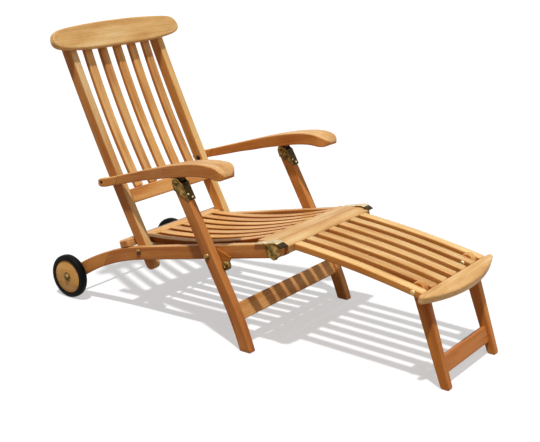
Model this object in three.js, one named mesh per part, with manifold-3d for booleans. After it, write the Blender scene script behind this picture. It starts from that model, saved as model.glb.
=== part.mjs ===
// Folding steamer deck chair in oiled teak with brass fittings, two wheels and a hinged footrest.
// Lengths are millimetres and angles are degrees. X runs from the wheels to the foot end, Z is up,
// and the chair is the same on both sides of Y = 0. Side-view points are Vector2(x, z).
import * as THREE from 'three';
import { mergeVertices } from 'three/addons/utils/BufferGeometryUtils.js';
import Module from 'manifold-3d';

const wasm = await Module();
wasm.setup();

// Clearances, arrises and the fineness of the curves
const jointGap = 0.3;
const pinClearance = 0.35;
const woodArris = 2;
const curveSteps = 8;
const roundSteps = 6;
const pinSides = 16;
const wheelSides = 32;

// Places across the chair, from the middle plane outwards
const uprightInner = 185;
const uprightThickness = 28;
const railInner = 214;
const railThickness = 25;
const legInner = 247;
const legThickness = 28;
const armInner = 215;
const wheelInner = 242;
const wheelWidth = 26;
const railOuter = railInner + railThickness;
const legOuter = legInner + legThickness;

// Side rails: a curve up from the wheels, then a straight run to the footrest hinge
const wheelRadius = 72;
const railDepth = 42;
const railStartPitch = 35;
const railPitch = 12;
const railBendRadius = 850;
const railStraight = 527.1;

// Folding linkage: back, arms, main legs and side rails form a parallelogram
const backPivotAlong = -9.1;
const backPivotRise = 4.3;
const legPivotAlong = 304.3;
const legPivotRise = -3.5;
const linkLength = 231;
const linkLean = 28.5;

// Main legs, their stretcher, caps and stops
const legDepth = 36;
const legLean = 29.2;
const legStraight = 363.5;
const legBendRadius = 955;
const legFootLean = 18.5;
const legTopDrop = 15;
const stretcherStart = 390;
const stretcherDepth = 51;
const stretcherThickness = 18;
const capPlate = 2.5;
const capRadius = 15.5;
const capRearDrop = 16;
const capFrontDrop = 62;
const capSpace = 1;
const capPinRadius = 4;
const tongueRadius = 11;
const tongueThickness = 24;
const lugPlateLength = 46;
const stopLength = 59;
const stopThickness = 6.5;
const stopDiscRadius = 14;
const stopDiscThickness = 10.5;
const stopDiscDrop = 45.5;

// Backrest, in its own frame: u runs up the back from its pivot, v runs forward
const backLean = 26.6;
const uprightDepth = 38;
const uprightLowEnd = -48;
const uprightTopEnd = 730;
const uprightBow = 10;
const headboardHalfWidth = 284;
const headboardCornerReach = 48;
const headboardShoulder = headboardHalfWidth - headboardCornerReach;
const headboardLow = 652;
const headboardHigh = 737.5;
const headboardTopRise = 8;
const headboardLowRise = 11;
const headboardThickness = 22;
const headboardBack = uprightDepth / 2 + jointGap;
const lowRailLow = 150;
const lowRailHigh = 195;
const lowRailFront = 13;
const lowRailThickness = 20;
const backSlatCount = 5;
const backSlatPitch = 66;
const backSlatWidth = 33.5;
const backSlatThickness = 14;
const backSlatLowFront = 5;
const backSlatTop = 728;
const backSlatDish = 14;
const backSlatSeat = 1.1;

// Seat
const seatSlatCount = 7;
const seatSlatPitch = 53;
const seatSlatWidth = 33.5;
const seatSlatDepth = 21;
const seatDish = 17;
const seatRearAlong = 46.75;
const seatRearRise = 29.5;
const seatFrontBehind = 74.9;
const seatFrontRise = 2.8;
const rearCrossbarBehind = 54;
const rearCrossbarDepth = 42;
const rearCrossbarThickness = 25;
const seatFrontRailThickness = 20;
const seatFrontRailSetback = 13.4;
const seatFrontRailPitch = 6.2;
const seatRearRailDrop = 4;

// Footrest and its legs
const footrestCrossbarRise = 20.8;
const footrestCrossbarDrop = 8.7;
const footrestCrossbarHalf = 209;
const footrestReliefLength = 10;
const footrestReliefRise = 13;
const footrestSlatCount = 7;
const footrestSlatPitch = 57.5;
const footrestSlatWidth = 32;
const footrestSlatDepth = 20;
const footrestCrown = 6.5;
const footrestSlatStart = 30.9;
const footrestSlatStartRise = 6.26;
const footrestReach = 439.6;
const footrestFall = 52.24;
const endBoardThickness = 24;
const endBoardHalfWidth = 212;
const endBoardReach = 57;
const endBoardEndReach = 12;
const footrestLegThickness = 24;
const footrestLegFront = 16.25;
const footrestLegRear = 22.75;
const footrestLegTaper = 13.5;
const footrestLegLean = 17.9;
const footrestPivotBehind = 26;
const footrestPivotRise = 5.5;
const footrestStretcherDrop = 198;
const footrestStretcherDepth = 48;
const footrestStretcherThickness = 17;
const hookThickness = 3.4;
const hookEyeRadius = 10;
const hookPinRadius = 5;
const hookPinLength = 22;
const hookTail = 12;

// Arms, measured from their pivot on the back
const armTail = 53.03;
const armLength = 550.2;
const armRise = 132.83;
const armFlare = 82.5;
const armPinHoleSpacing = 37;
const spareHoleRadius = 4.5;

// Fittings
const axleRadius = 6;
const axleCapRadius = 13;
const axleCapRise = 6;
const rodRadius = 5;
const domeRadius = 9.5;
const domeRise = 5;
const boltSpace = 1;
const nutRadius = 8;
const nutLength = 7;
const armPinHeadRadius = 8;
const armPinHeadLength = 5;
const armPinDepth = 20;
const footrestBoltRadius = 4;
const footrestDomeRadius = 8;
const footrestDomeRise = 4;
const tyreThickness = 16;
const tyreRound = 7;
const hubRadius = 17;
const rimArris = 2;
const discInset = 2;

const teak = (name, colour) => new THREE.MeshStandardMaterial({ name, color: colour, roughness: 0.55 });
const lightTeak = teak('teak_light', 0xd9a05c);
const midTeak = teak('teak_mid', 0xc98a48);
const deepTeak = teak('teak_deep', 0xb87840);
const brassFinish = { name: 'brass', color: 0x9c8440, roughness: 0.38, metalness: 1 };
const brass = new THREE.MeshStandardMaterial(brassFinish);
const rubber = new THREE.MeshStandardMaterial({ name: 'rubber', color: 0x1d1d1f, roughness: 0.7 });
const endGrain = teak('teak_wheel', 0xa9743f);

const sides = [['near', -1], ['far', 1]];

// Small helpers for places in the side view
function toRad(angle) {
  return THREE.MathUtils.degToRad(angle);
}

function ahead(from, pitch, along, rise) {
  const run = new THREE.Vector2(Math.cos(toRad(pitch)), Math.sin(toRad(pitch)));
  const up = new THREE.Vector2(-run.y, run.x);
  return from.clone().addScaledVector(run, along).addScaledVector(up, rise);
}

// A point measured down a leaning part from a pivot, and forward of its line
function downLeg(from, lean, drop, forward) {
  const down = new THREE.Vector2(Math.sin(toRad(lean)), -Math.cos(toRad(lean)));
  const front = new THREE.Vector2(-down.y, down.x);
  return from.clone().addScaledVector(down, drop).addScaledVector(front, forward);
}

// Points on a circular arc between two ends, bulging to the left of the line by the rise
function arcBetween(start, end, rise) {
  const chord = end.clone().sub(start);
  const left = new THREE.Vector2(-chord.y, chord.x).normalize();
  const halfChord = chord.length() / 2;
  const height = Math.abs(rise);
  const radius = (halfChord * halfChord + height * height) / (2 * height);
  const half = Math.asin(halfChord / radius);
  const points = [];
  for (let step = 0; step <= curveSteps; step += 1) {
    const angle = half * ((2 * step) / curveSteps - 1);
    const share = (Math.sin(angle) / Math.sin(half) + 1) / 2;
    const bulge = (Math.cos(angle) - Math.cos(half)) * radius * Math.sign(rise);
    points.push(start.clone().addScaledVector(chord, share).addScaledVector(left, bulge));
  }
  return points;
}

// Points on an arc that starts at a heading and turns clockwise to another heading
function arcOnward(start, fromPitch, toPitch, radius) {
  const points = [];
  for (let step = 0; step <= curveSteps; step += 1) {
    const pitch = toRad(fromPitch + ((toPitch - fromPitch) * step) / curveSteps);
    const x = start.x + radius * (Math.sin(toRad(fromPitch)) - Math.sin(pitch));
    const z = start.y + radius * (Math.cos(pitch) - Math.cos(toRad(fromPitch)));
    points.push(new THREE.Vector2(x, z));
  }
  return points;
}

function normalAt(curve, index) {
  const before = curve[Math.max(index - 1, 0)];
  const after = curve[Math.min(index + 1, curve.length - 1)];
  const run = after.clone().sub(before).normalize();
  return new THREE.Vector2(-run.y, run.x);
}

function halfCircle(centre, from, radius) {
  const points = [];
  for (let step = 1; step < roundSteps; step += 1) {
    const turned = from.clone().rotateAround(new THREE.Vector2(), (-Math.PI * step) / roundSteps);
    points.push(centre.clone().addScaledVector(turned, radius));
  }
  return points;
}

// Outline of a bar of even depth along a centre curve, with square or rounded ends
function strip(curve, depth, roundStart, roundEnd) {
  const half = depth / 2;
  const last = curve.length - 1;
  const upper = curve.map((at, index) => at.clone().addScaledVector(normalAt(curve, index), half));
  const lower = curve.map((at, index) => at.clone().addScaledVector(normalAt(curve, index), -half));
  const endRound = roundEnd ? halfCircle(curve[last], normalAt(curve, last), half) : [];
  const startRound = roundStart ? halfCircle(curve[0], normalAt(curve, 0).negate(), half) : [];
  return [...upper, ...endRound, ...lower.reverse(), ...startRound];
}

// The part of an outline that stands above a level line, without edges too short for the chamfer
function aboveLevel(outline, level) {
  const kept = [];
  outline.forEach((at, index) => {
    const next = outline[(index + 1) % outline.length];
    if (at.y >= level) {
      kept.push(at);
    }
    if ((at.y - level) * (next.y - level) < 0) {
      const share = (level - at.y) / (next.y - at.y);
      kept.push(at.clone().lerp(next, share));
    }
  });
  return kept.filter((at, index) => {
    const next = kept[(index + 1) % kept.length];
    return at.y === level || at.distanceTo(next) > woodArris;
  });
}

// Solids from outlines and profiles
function extruded(shape, thickness, arris) {
  const geometry = new THREE.ExtrudeGeometry(shape, {
    depth: thickness - 2 * arris,
    bevelEnabled: arris > 0,
    bevelThickness: arris,
    bevelSize: arris,
    bevelOffset: -arris,
    bevelSegments: 1,
    curveSegments: roundSteps,
  });
  geometry.translate(0, 0, arris - thickness / 2);
  return geometry;
}

function sideways(outline, thickness, arris, middleY) {
  const geometry = extruded(new THREE.Shape(outline), thickness, arris);
  geometry.rotateX(Math.PI / 2);
  geometry.translate(0, middleY, 0);
  return geometry;
}

// A body turned about the Y axis from rows of radius and place along Y
function turned(rows, segments, x, z) {
  const profile = rows.map(([radius, y]) => new THREE.Vector2(radius, y));
  const geometry = new THREE.LatheGeometry(profile, segments);
  geometry.translate(x, 0, z);
  return geometry;
}

function cylinder(radius, fromY, toY, at) {
  const rows = [[0, fromY], [radius, fromY], [radius, toY], [0, toY]];
  return turned(rows, pinSides, at.x, at.y);
}

function domeRows(radius, rise, y, outward) {
  const rows = [];
  const steps = 3;
  for (let step = 0; step <= steps; step += 1) {
    const angle = ((Math.PI / 2) * step) / steps;
    const share = step === steps ? 0 : Math.cos(angle);
    rows.push([radius * share, y + outward * rise * Math.sin(angle)]);
  }
  return rows;
}

function toSolid(geometry) {
  const plain = geometry.clone();
  plain.deleteAttribute('normal');
  plain.deleteAttribute('uv');
  const merged = mergeVertices(plain);
  const make = (indices) => {
    const vertProperties = new Float32Array(merged.attributes.position.array);
    return new wasm.Manifold(new wasm.Mesh({ numProp: 3, vertProperties, triVerts: indices }));
  };
  const solid = make(new Uint32Array(merged.index.array));
  if (solid.volume() > 0) {
    return solid;
  }
  return make(new Uint32Array(merged.index.array).reverse());
}

function toGeometry(solid) {
  const mesh = solid.getMesh();
  const geometry = new THREE.BufferGeometry();
  geometry.setAttribute('position', new THREE.BufferAttribute(new Float32Array(mesh.vertProperties), 3));
  geometry.setIndex(new THREE.BufferAttribute(new Uint32Array(mesh.triVerts), 1));
  return geometry;
}

function combine(geometry, others, how) {
  const result = others.reduce((solid, other) => solid[how](toSolid(other)), toSolid(geometry));
  return toGeometry(result);
}

const cut = (geometry, ...tools) => combine(geometry, tools, 'subtract');
const join = (geometry, ...others) => combine(geometry, others, 'add');
const common = (geometry, ...others) => combine(geometry, others, 'intersect');

function piece(parent, name, geometry, material) {
  const solid = toGeometry(toSolid(geometry)).toNonIndexed();
  solid.computeVertexNormals();
  const mesh = new THREE.Mesh(solid, material);
  mesh.name = name;
  parent.add(mesh);
  return mesh;
}

// Evenly spread places across the chair, the nearest first
function spread(count, pitch) {
  return Array.from({ length: count }, (_, index) => (index - (count - 1) / 2) * pitch);
}

// Pivot points of the linkage and of the footrest
const axlePoint = new THREE.Vector2(0, wheelRadius);
const railBend = arcOnward(axlePoint, railStartPitch, railPitch, railBendRadius);
const bendEnd = railBend[railBend.length - 1];
const hingePoint = ahead(bendEnd, railPitch, railStraight, 0);
const backPivot = ahead(bendEnd, railPitch, backPivotAlong, backPivotRise);
const legPivot = ahead(bendEnd, railPitch, legPivotAlong, legPivotRise);
const armPivot = downLeg(backPivot, linkLean, -linkLength, 0);
const legTop = downLeg(legPivot, linkLean, -linkLength, 0);
const footrestFront = hingePoint.clone().add(new THREE.Vector2(footrestReach, -footrestFall));
const footrestPivot = footrestFront.clone().add(new THREE.Vector2(-footrestPivotBehind, footrestPivotRise));
const seatFrontRailEnd = hingePoint.x - seatFrontRailSetback;
const footrestCrossbarRear = seatFrontRailEnd + 2 * jointGap;
const footrestCrossbarTop = hingePoint.y + footrestCrossbarRise;
const footrestCrossbarLow = hingePoint.y - footrestCrossbarDrop;

const backGroup = new THREE.Group();
backGroup.position.set(backPivot.x, 0, backPivot.y);
backGroup.rotation.y = -toRad(backLean);

// The same point seen in the frame of the back, as forward and up
function inBack(at) {
  return at.clone().sub(backPivot).rotateAround(new THREE.Vector2(), -toRad(backLean));
}

// The rear crossbar lies on the bend of the rails; its pitch is the pitch of the rail below it
const rearCrossbarX = backPivot.x - rearCrossbarBehind;
const rearPitchSine = Math.sin(toRad(railStartPitch)) - rearCrossbarX / railBendRadius;
const rearPitch = THREE.MathUtils.radToDeg(Math.asin(rearPitchSine));
const rearAxisRise = railBendRadius * (Math.cos(toRad(rearPitch)) - Math.cos(toRad(railStartPitch)));
const rearAxisPoint = new THREE.Vector2(rearCrossbarX, wheelRadius + rearAxisRise);
const railTopHalf = railDepth / 2;

// Seat
const seatRear = ahead(rearAxisPoint, rearPitch, seatRearAlong, seatRearRise);
const seatFront = hingePoint.clone().add(new THREE.Vector2(-seatFrontBehind, seatFrontRise));
const seatCurve = arcBetween(seatRear, seatFront, -seatDish);
const seatOutline = strip(seatCurve, seatSlatDepth, false, false);
const seatRearTop = seatOutline[0];
const seatFrontTop = seatOutline[curveSteps];
const seatFrontLow = seatOutline[curveSteps + 1];
const seatRearLow = seatOutline[seatOutline.length - 1];

function rearCrossbarOutline() {
  const half = rearCrossbarDepth / 2;
  const high = railTopHalf + rearCrossbarThickness;
  return [
    ahead(rearAxisPoint, rearPitch, -half, railTopHalf),
    ahead(rearAxisPoint, rearPitch, half, railTopHalf),
    ahead(rearAxisPoint, rearPitch, half, high),
    ahead(rearAxisPoint, rearPitch, -half, high),
  ];
}

function seatRearRailOutline() {
  const half = rearCrossbarDepth / 2 + jointGap;
  const high = railTopHalf + rearCrossbarThickness;
  const frontLow = seatRearLow.clone().setY(seatRearLow.y - seatRearRailDrop).setX(seatRearLow.x - jointGap);
  const frontTop = seatRearTop.clone().setX(seatRearTop.x - jointGap);
  return [
    ahead(rearAxisPoint, rearPitch, half, railTopHalf),
    frontLow,
    frontTop,
    ahead(rearAxisPoint, rearPitch, half, high),
  ];
}

// The seat's front rail lies between the side rails and rises to the hinge
function seatFrontRail() {
  const endDown = seatFrontLow.clone().sub(seatFrontTop).normalize();
  const rearTop = seatFrontTop.clone().setX(seatFrontTop.x + jointGap);
  const rearLow = rearTop.clone().addScaledVector(endDown, seatFrontRailThickness);
  const slope = Math.tan(toRad(seatFrontRailPitch));
  const frontTop = new THREE.Vector2(seatFrontRailEnd, rearTop.y + slope * (seatFrontRailEnd - rearTop.x));
  const frontLow = new THREE.Vector2(seatFrontRailEnd, rearLow.y + slope * (seatFrontRailEnd - rearLow.x));
  const outline = [rearLow, frontLow, frontTop, rearTop];
  return sideways(outline, 2 * (railInner - jointGap), woodArris, 0);
}

function sideRail(side) {
  const middleY = side * (railInner + railThickness / 2);
  const outline = strip([...railBend, hingePoint], railDepth, true, true);
  const body = sideways(outline, railThickness, woodArris, middleY);
  const through = railOuter + railThickness;
  const hookHoleEnd = railInner + hookPinLength + jointGap;
  return cut(
    body,
    cylinder(axleRadius + pinClearance, -through, through, axlePoint),
    cylinder(rodRadius + pinClearance, -through, through, backPivot),
    cylinder(rodRadius + pinClearance, -through, through, legPivot),
    cylinder(hookPinRadius + pinClearance, -hookHoleEnd, hookHoleEnd, hingePoint),
  );
}

// Wheels
function tyre(side) {
  const middle = wheelInner + wheelWidth / 2;
  const half = wheelWidth / 2;
  const inner = wheelRadius - tyreThickness;
  const rows = [
    [inner, -half],
    [wheelRadius - tyreRound, -half],
    [wheelRadius, -half + tyreRound],
    [wheelRadius, half - tyreRound],
    [wheelRadius - tyreRound, half],
    [inner, half],
    [inner, -half],
  ].map(([radius, y]) => [radius, y + side * middle]);
  return turned(rows, wheelSides, axlePoint.x, axlePoint.y);
}

function wheelDisc(side) {
  const bore = axleRadius + pinClearance;
  const rim = wheelRadius - tyreThickness - jointGap;
  const inside = wheelInner + discInset;
  const outside = wheelInner + wheelWidth - discInset;
  const rows = [
    [bore, railOuter + jointGap],
    [hubRadius, railOuter + jointGap],
    [hubRadius, inside],
    [rim - rimArris, inside],
    [rim, inside + rimArris],
    [rim, outside - rimArris],
    [rim - rimArris, outside],
    [bore, outside],
    [bore, railOuter + jointGap],
  ].map(([radius, y]) => [radius, side * y]);
  return turned(rows, wheelSides, axlePoint.x, axlePoint.y);
}

// A rod right across the chair with a dome at each end
function domedRod(radius, headRadius, headRise, reach, at) {
  const low = domeRows(headRadius, headRise, -reach, -1).reverse();
  const high = domeRows(headRadius, headRise, reach, 1);
  return turned([...low, [radius, -reach], [radius, reach], ...high], pinSides, at.x, at.y);
}

function legBolt(side) {
  const collarStart = railOuter + jointGap;
  const collarEnd = legInner - jointGap;
  const head = legOuter + jointGap;
  const nutStart = railInner - jointGap;
  const rows = [
    [0, nutStart - nutLength],
    [nutRadius, nutStart - nutLength],
    [nutRadius, nutStart],
    [rodRadius, nutStart],
    [rodRadius, collarStart],
    [domeRadius, collarStart],
    [domeRadius, collarEnd],
    [rodRadius, collarEnd],
    [rodRadius, head],
    ...domeRows(domeRadius, domeRise, head, 1),
  ].map(([radius, y]) => [radius, side * y]);
  return turned(rows, pinSides, legPivot.x, legPivot.y);
}

// Stop on the rail that a main leg leans against: a wedge plate with a disc on it
const stopCornerShares = [[-0.17, 0.1], [-0.17, 0.36], [0.49, 0.98], [1, 0.34], [1, 0.1], [0.34, -0.14]];

function legStop(side) {
  const outline = stopCornerShares.map(([drop, forward]) => {
    return downLeg(legPivot, linkLean, drop * stopLength, forward * stopLength);
  });
  const plateMiddle = side * (railOuter + stopThickness / 2);
  const boltHole = cylinder(domeRadius + boltSpace, -legOuter, legOuter, legPivot);
  const discReach = legDepth / 2 + jointGap + stopDiscRadius;
  const discAt = downLeg(legTop, legLean, linkLength + stopDiscDrop, discReach);
  const discEnd = side * (railOuter + stopThickness + stopDiscThickness);
  const disc = cylinder(stopDiscRadius, side * (railOuter + stopThickness / 2), discEnd, discAt);
  return join(cut(sideways(outline, stopThickness, 0, plateMiddle), boltHole), disc);
}

// Brass bracket over the front end of a side rail: a strap that bends down over the rail's end, and
// a cheek on the rail's outer face
const strapLength = 66;
const strapShares = [[-1, 0], [0.06, 0], [0.2, -0.03], [0.34, -0.1], [0.47, -0.21]];
const strapThickness = 2.6;
const cheekLength = 47;
const cheekPlate = 2.6;
const cheekTopShares = [-0.64, 0.04];
const cheekLowShares = [[0.35, 0.01], [0.16, -0.44], [-0.18, -0.57], [-0.55, -0.2], [-0.61, 0.13]];

function frontBracket(side) {
  const strapRise = railTopHalf + jointGap + strapThickness / 2;
  const strapCurve = strapShares.map(([along, rise]) => {
    return ahead(hingePoint, railPitch, along * strapLength, strapRise + rise * strapLength);
  });
  const outerY = railOuter + jointGap + cheekPlate;
  const strapWidth = outerY - railInner;
  const strap = sideways(strip(strapCurve, strapThickness, false, false), strapWidth, 0,
    side * (railInner + strapWidth / 2));
  const cheekTop = cheekTopShares.map((along) => {
    return ahead(hingePoint, railPitch, along * cheekLength, strapRise);
  });
  const cheekLow = cheekLowShares.map(([along, rise]) => {
    return ahead(hingePoint, railPitch, along * cheekLength, rise * cheekLength);
  });
  const cheekOutline = [...cheekTop, ...cheekLow];
  const cheek = sideways(cheekOutline, cheekPlate, 0, side * (railOuter + jointGap + cheekPlate / 2));
  return join(strap, cheek);
}

// Backrest pieces, built in the frame of the back as forward and up
function upright(side) {
  const centre = arcBetween(
    new THREE.Vector2(0, uprightLowEnd),
    new THREE.Vector2(0, uprightTopEnd),
    uprightBow,
  );
  const outline = strip(centre, uprightDepth, true, false);
  const body = sideways(outline, uprightThickness, woodArris, side * (uprightInner + uprightThickness / 2));
  return cut(
    body,
    cylinder(rodRadius + pinClearance, -railOuter, railOuter, new THREE.Vector2()),
    cylinder(rodRadius + pinClearance, -railOuter, railOuter, inBack(armPivot)),
  );
}

function headboard() {
  const topEdge = headboardHigh - headboardTopRise;
  const lowEdge = headboardLow + headboardLowRise;
  const middle = (topEdge + lowEdge) / 2;
  const shape = new THREE.Shape();
  shape.moveTo(-headboardShoulder, lowEdge);
  shape.quadraticCurveTo(0, headboardLow - headboardLowRise, headboardShoulder, lowEdge);
  shape.bezierCurveTo(
    headboardHalfWidth - headboardLowRise, lowEdge + headboardLowRise / 2,
    headboardHalfWidth, middle - headboardLowRise,
    headboardHalfWidth, middle,
  );
  shape.bezierCurveTo(
    headboardHalfWidth, middle + headboardLowRise,
    headboardHalfWidth - headboardLowRise, topEdge,
    headboardShoulder, topEdge,
  );
  shape.quadraticCurveTo(0, headboardHigh + headboardTopRise, -headboardShoulder, topEdge);
  shape.bezierCurveTo(
    -headboardHalfWidth + headboardLowRise, topEdge,
    -headboardHalfWidth, middle + headboardLowRise,
    -headboardHalfWidth, middle,
  );
  shape.bezierCurveTo(
    -headboardHalfWidth, middle - headboardLowRise,
    -headboardHalfWidth + headboardLowRise, lowEdge + headboardLowRise / 2,
    -headboardShoulder, lowEdge,
  );
  const geometry = extruded(shape, headboardThickness, woodArris);
  const turn = new THREE.Matrix4().makeBasis(
    new THREE.Vector3(0, 1, 0),
    new THREE.Vector3(0, 0, 1),
    new THREE.Vector3(1, 0, 0),
  );
  geometry.applyMatrix4(turn);
  geometry.translate(headboardBack + headboardThickness / 2, 0, 0);
  return geometry;
}

function backLowerRail() {
  const outline = [
    new THREE.Vector2(lowRailFront - lowRailThickness, lowRailLow),
    new THREE.Vector2(lowRailFront, lowRailLow),
    new THREE.Vector2(lowRailFront, lowRailHigh),
    new THREE.Vector2(lowRailFront - lowRailThickness, lowRailHigh),
  ];
  return sideways(outline, 2 * (uprightInner - jointGap), woodArris, 0);
}

function backSlat(y) {
  const low = new THREE.Vector2(backSlatLowFront - backSlatThickness / 2, lowRailHigh + backSlatSeat);
  const topForward = headboardBack - jointGap - backSlatThickness / 2;
  const top = new THREE.Vector2(topForward, backSlatTop);
  const outline = strip(arcBetween(low, top, backSlatDish), backSlatThickness, false, false);
  return sideways(outline, backSlatWidth, woodArris, y);
}

function armPin(side) {
  const headEnd = uprightInner - jointGap;
  const rows = [
    ...domeRows(armPinHeadRadius, armPinHeadLength, headEnd, -1).reverse(),
    [rodRadius, headEnd],
    [rodRadius, armInner + armPinDepth],
    [0, armInner + armPinDepth],
  ].map(([radius, y]) => [radius, side * y]);
  const at = inBack(armPivot);
  return turned(rows, pinSides, at.x, at.y);
}

// Main legs
function legCentre() {
  const straightEnd = downLeg(legTop, legLean, legStraight, 0);
  const points = [downLeg(legTop, legLean, legTopDrop, 0), straightEnd];
  for (let step = 1; step <= curveSteps; step += 1) {
    const lean = legLean + ((legFootLean - legLean) * step) / curveSteps;
    const before = toRad(legLean);
    const now = toRad(lean);
    const x = straightEnd.x + legBendRadius * (Math.cos(now) - Math.cos(before));
    const z = straightEnd.y - legBendRadius * (Math.sin(before) - Math.sin(now));
    points.push(new THREE.Vector2(x, z));
  }
  const bendFoot = points[points.length - 1];
  const toGround = Math.max(bendFoot.y, 0) / Math.cos(toRad(legFootLean));
  points.push(downLeg(bendFoot, legFootLean, toGround + legDepth, 0));
  return points;
}

function mainLeg(side) {
  const outline = aboveLevel(strip(legCentre(), legDepth, false, false), 0);
  const body = sideways(outline, legThickness, woodArris, side * (legInner + legThickness / 2));
  return cut(body, cylinder(rodRadius + pinClearance, -2 * legOuter, 2 * legOuter, legPivot));
}

function legStretcher() {
  const straightEnd = downLeg(legTop, legLean, legStraight, 0);
  const intoBend = stretcherStart + stretcherDepth / 2 - legStraight;
  const turn = THREE.MathUtils.radToDeg(intoBend / legBendRadius);
  const middle = downLeg(straightEnd, legLean - turn / 2, intoBend, 0);
  const lean = legLean - turn;
  const half = stretcherDepth / 2;
  const ends = [downLeg(middle, lean, -half, 0), downLeg(middle, lean, half, 0)];
  return sideways(strip(ends, stretcherThickness, false, false), 2 * (legInner - jointGap), woodArris, 0);
}

// Brass cap on top of a leg: two cheeks and a front plate round the arm's tongue
function legCap(side) {
  const halfLeg = legDepth / 2;
  const front = halfLeg + jointGap + capPlate;
  const place = (drop, forward) => downLeg(legTop, legLean, drop, forward);
  const round = halfCircle(legTop, downLeg(new THREE.Vector2(), legLean, 0, -1), capRadius);
  const cheekOutline = [
    place(capRearDrop, -halfLeg),
    place(0, -capRadius),
    ...round,
    place(0, capRadius),
    place(capRearDrop / 2, front),
    place(capFrontDrop, front),
  ];
  const hole = cylinder(capPinRadius + pinClearance, -2 * legOuter, 2 * legOuter, legTop);
  const outerCheek = sideways(cheekOutline, capPlate, 0, side * (legOuter + jointGap + capPlate / 2));
  const innerCheek = sideways(cheekOutline, capPlate, 0, side * (legInner - jointGap - capPlate / 2));
  const plateOutline = [
    place(capRearDrop / 2, front - capPlate),
    place(capFrontDrop, front - capPlate),
    place(capFrontDrop, front),
    place(capRearDrop / 2, front),
  ];
  const plateWidth = legThickness + 2 * (jointGap + capPlate);
  const frontPlate = sideways(plateOutline, plateWidth, 0, side * (legInner + legThickness / 2));
  return cut(join(outerCheek, innerCheek, frontPlate), hole);
}

// Arms: a side-view outline met by a plan outline that flares towards the front. Places along an
// arm run from 0 at its rear end over 1 above the leg cap to 2 at its front end, and the others are
// shares of its rise above the pivot and of its flare.
const armTopShares = [
  [0, 0.0266], [0.0197, 0.0642], [0.0675, 0.0944], [0.2221, 0.2148], [0.3992, 0.3654],
  [0.5876, 0.5235], [0.7226, 0.6364], [0.8716, 0.7569], [1.0055, 0.851], [1.2171, 0.9187],
  [1.4604, 0.9789], [1.6403, 1], [1.7725, 0.994], [1.873, 0.9639], [1.9577, 0.9074], [2, 0.8397],
];
const armLowShares = [
  [2, 0.7719], [1.9788, 0.723], [1.9259, 0.7042], [1.7725, 0.7267], [1.6561, 0.7267],
  [1.3916, 0.6816], [1.0795, 0.5875], [0.8659, 0.4783], [0.7226, 0.3729], [0.5876, 0.2826],
  [0.4414, 0.1696], [0.284, 0.0492], [0.1827, -0.0261], [0.09, -0.1014], [0.0422, -0.124],
  [0.0112, -0.1014], [0, -0.0562],
];
const armOuterShares = [
  [0, 0.303], [0.2446, 0.303], [0.5258, 0.4], [0.7507, 0.5697], [0.9194, 0.7152], [1.1642, 0.8242],
  [1.4816, 0.9333], [1.7461, 1], [1.8625, 0.9879], [1.9365, 0.9091], [1.9841, 0.7394], [2, 0.5697],
];
const armInnerShares = [
  [2, 0.4242], [1.9788, 0.2545], [1.9312, 0.1091], [1.8625, 0.0182], [1.799, 0], [0, 0],
];

function alongArm(share) {
  const rearX = armPivot.x - armTail;
  if (share <= 1) {
    return THREE.MathUtils.lerp(rearX, legTop.x, share);
  }
  return THREE.MathUtils.lerp(legTop.x, rearX + armLength, share - 1);
}

function armBody(side) {
  const sideShape = [...armTopShares, ...armLowShares].map(([along, rise]) => {
    return new THREE.Vector2(alongArm(along), armPivot.y + rise * armRise);
  });
  const planShape = [...armOuterShares, ...armInnerShares].map(([along, flare]) => {
    return new THREE.Vector2(alongArm(along), side * (armInner + flare * armFlare));
  });
  const overrun = 2 * (armInner + armFlare);
  const solidSide = sideways(sideShape, overrun, 0, 0);
  const plan = extruded(new THREE.Shape(planShape), 2 * (armPivot.y + armRise), 0);
  return common(solidSide, plan);
}

function arm(side) {
  const pinEnd = armInner + armPinDepth + jointGap;
  const spare = new THREE.Vector2(armPivot.x - armPinHoleSpacing, armPivot.y - jointGap);
  return cut(
    armBody(side),
    cylinder(rodRadius + pinClearance, -pinEnd, pinEnd, armPivot),
    cylinder(spareHoleRadius, -legOuter, legOuter, spare),
  );
}

// Brass lug under an arm with the pin that turns in the leg cap
function armLug(side) {
  const middle = side * (legInner + legThickness / 2);
  const high = legTop.y + railDepth;
  const neck = [
    new THREE.Vector2(legTop.x - tongueRadius, legTop.y),
    new THREE.Vector2(legTop.x + tongueRadius, legTop.y),
    new THREE.Vector2(legTop.x + tongueRadius, high),
    new THREE.Vector2(legTop.x - tongueRadius, high),
  ];
  const low = legTop.y + capRadius + capSpace;
  const half = lugPlateLength / 2;
  const plate = [
    new THREE.Vector2(legTop.x - half, low - half * Math.tan(toRad(railPitch))),
    new THREE.Vector2(legTop.x + half, low + half * Math.tan(toRad(railPitch)) / 2),
    new THREE.Vector2(legTop.x + half, high),
    new THREE.Vector2(legTop.x - half, high),
  ];
  const halfTongue = tongueThickness / 2;
  const tongue = join(
    cylinder(tongueRadius, middle - halfTongue, middle + halfTongue, legTop),
    sideways(neck, tongueThickness, 0, middle),
    sideways(plate, tongueThickness, 0, middle),
  );
  const trimmed = cut(tongue, armBody(side).translate(0, 0, -jointGap));
  const pinHalf = legThickness / 2 + jointGap + capPlate;
  return join(trimmed, cylinder(capPinRadius, middle - pinHalf, middle + pinHalf, legTop));
}

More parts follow.
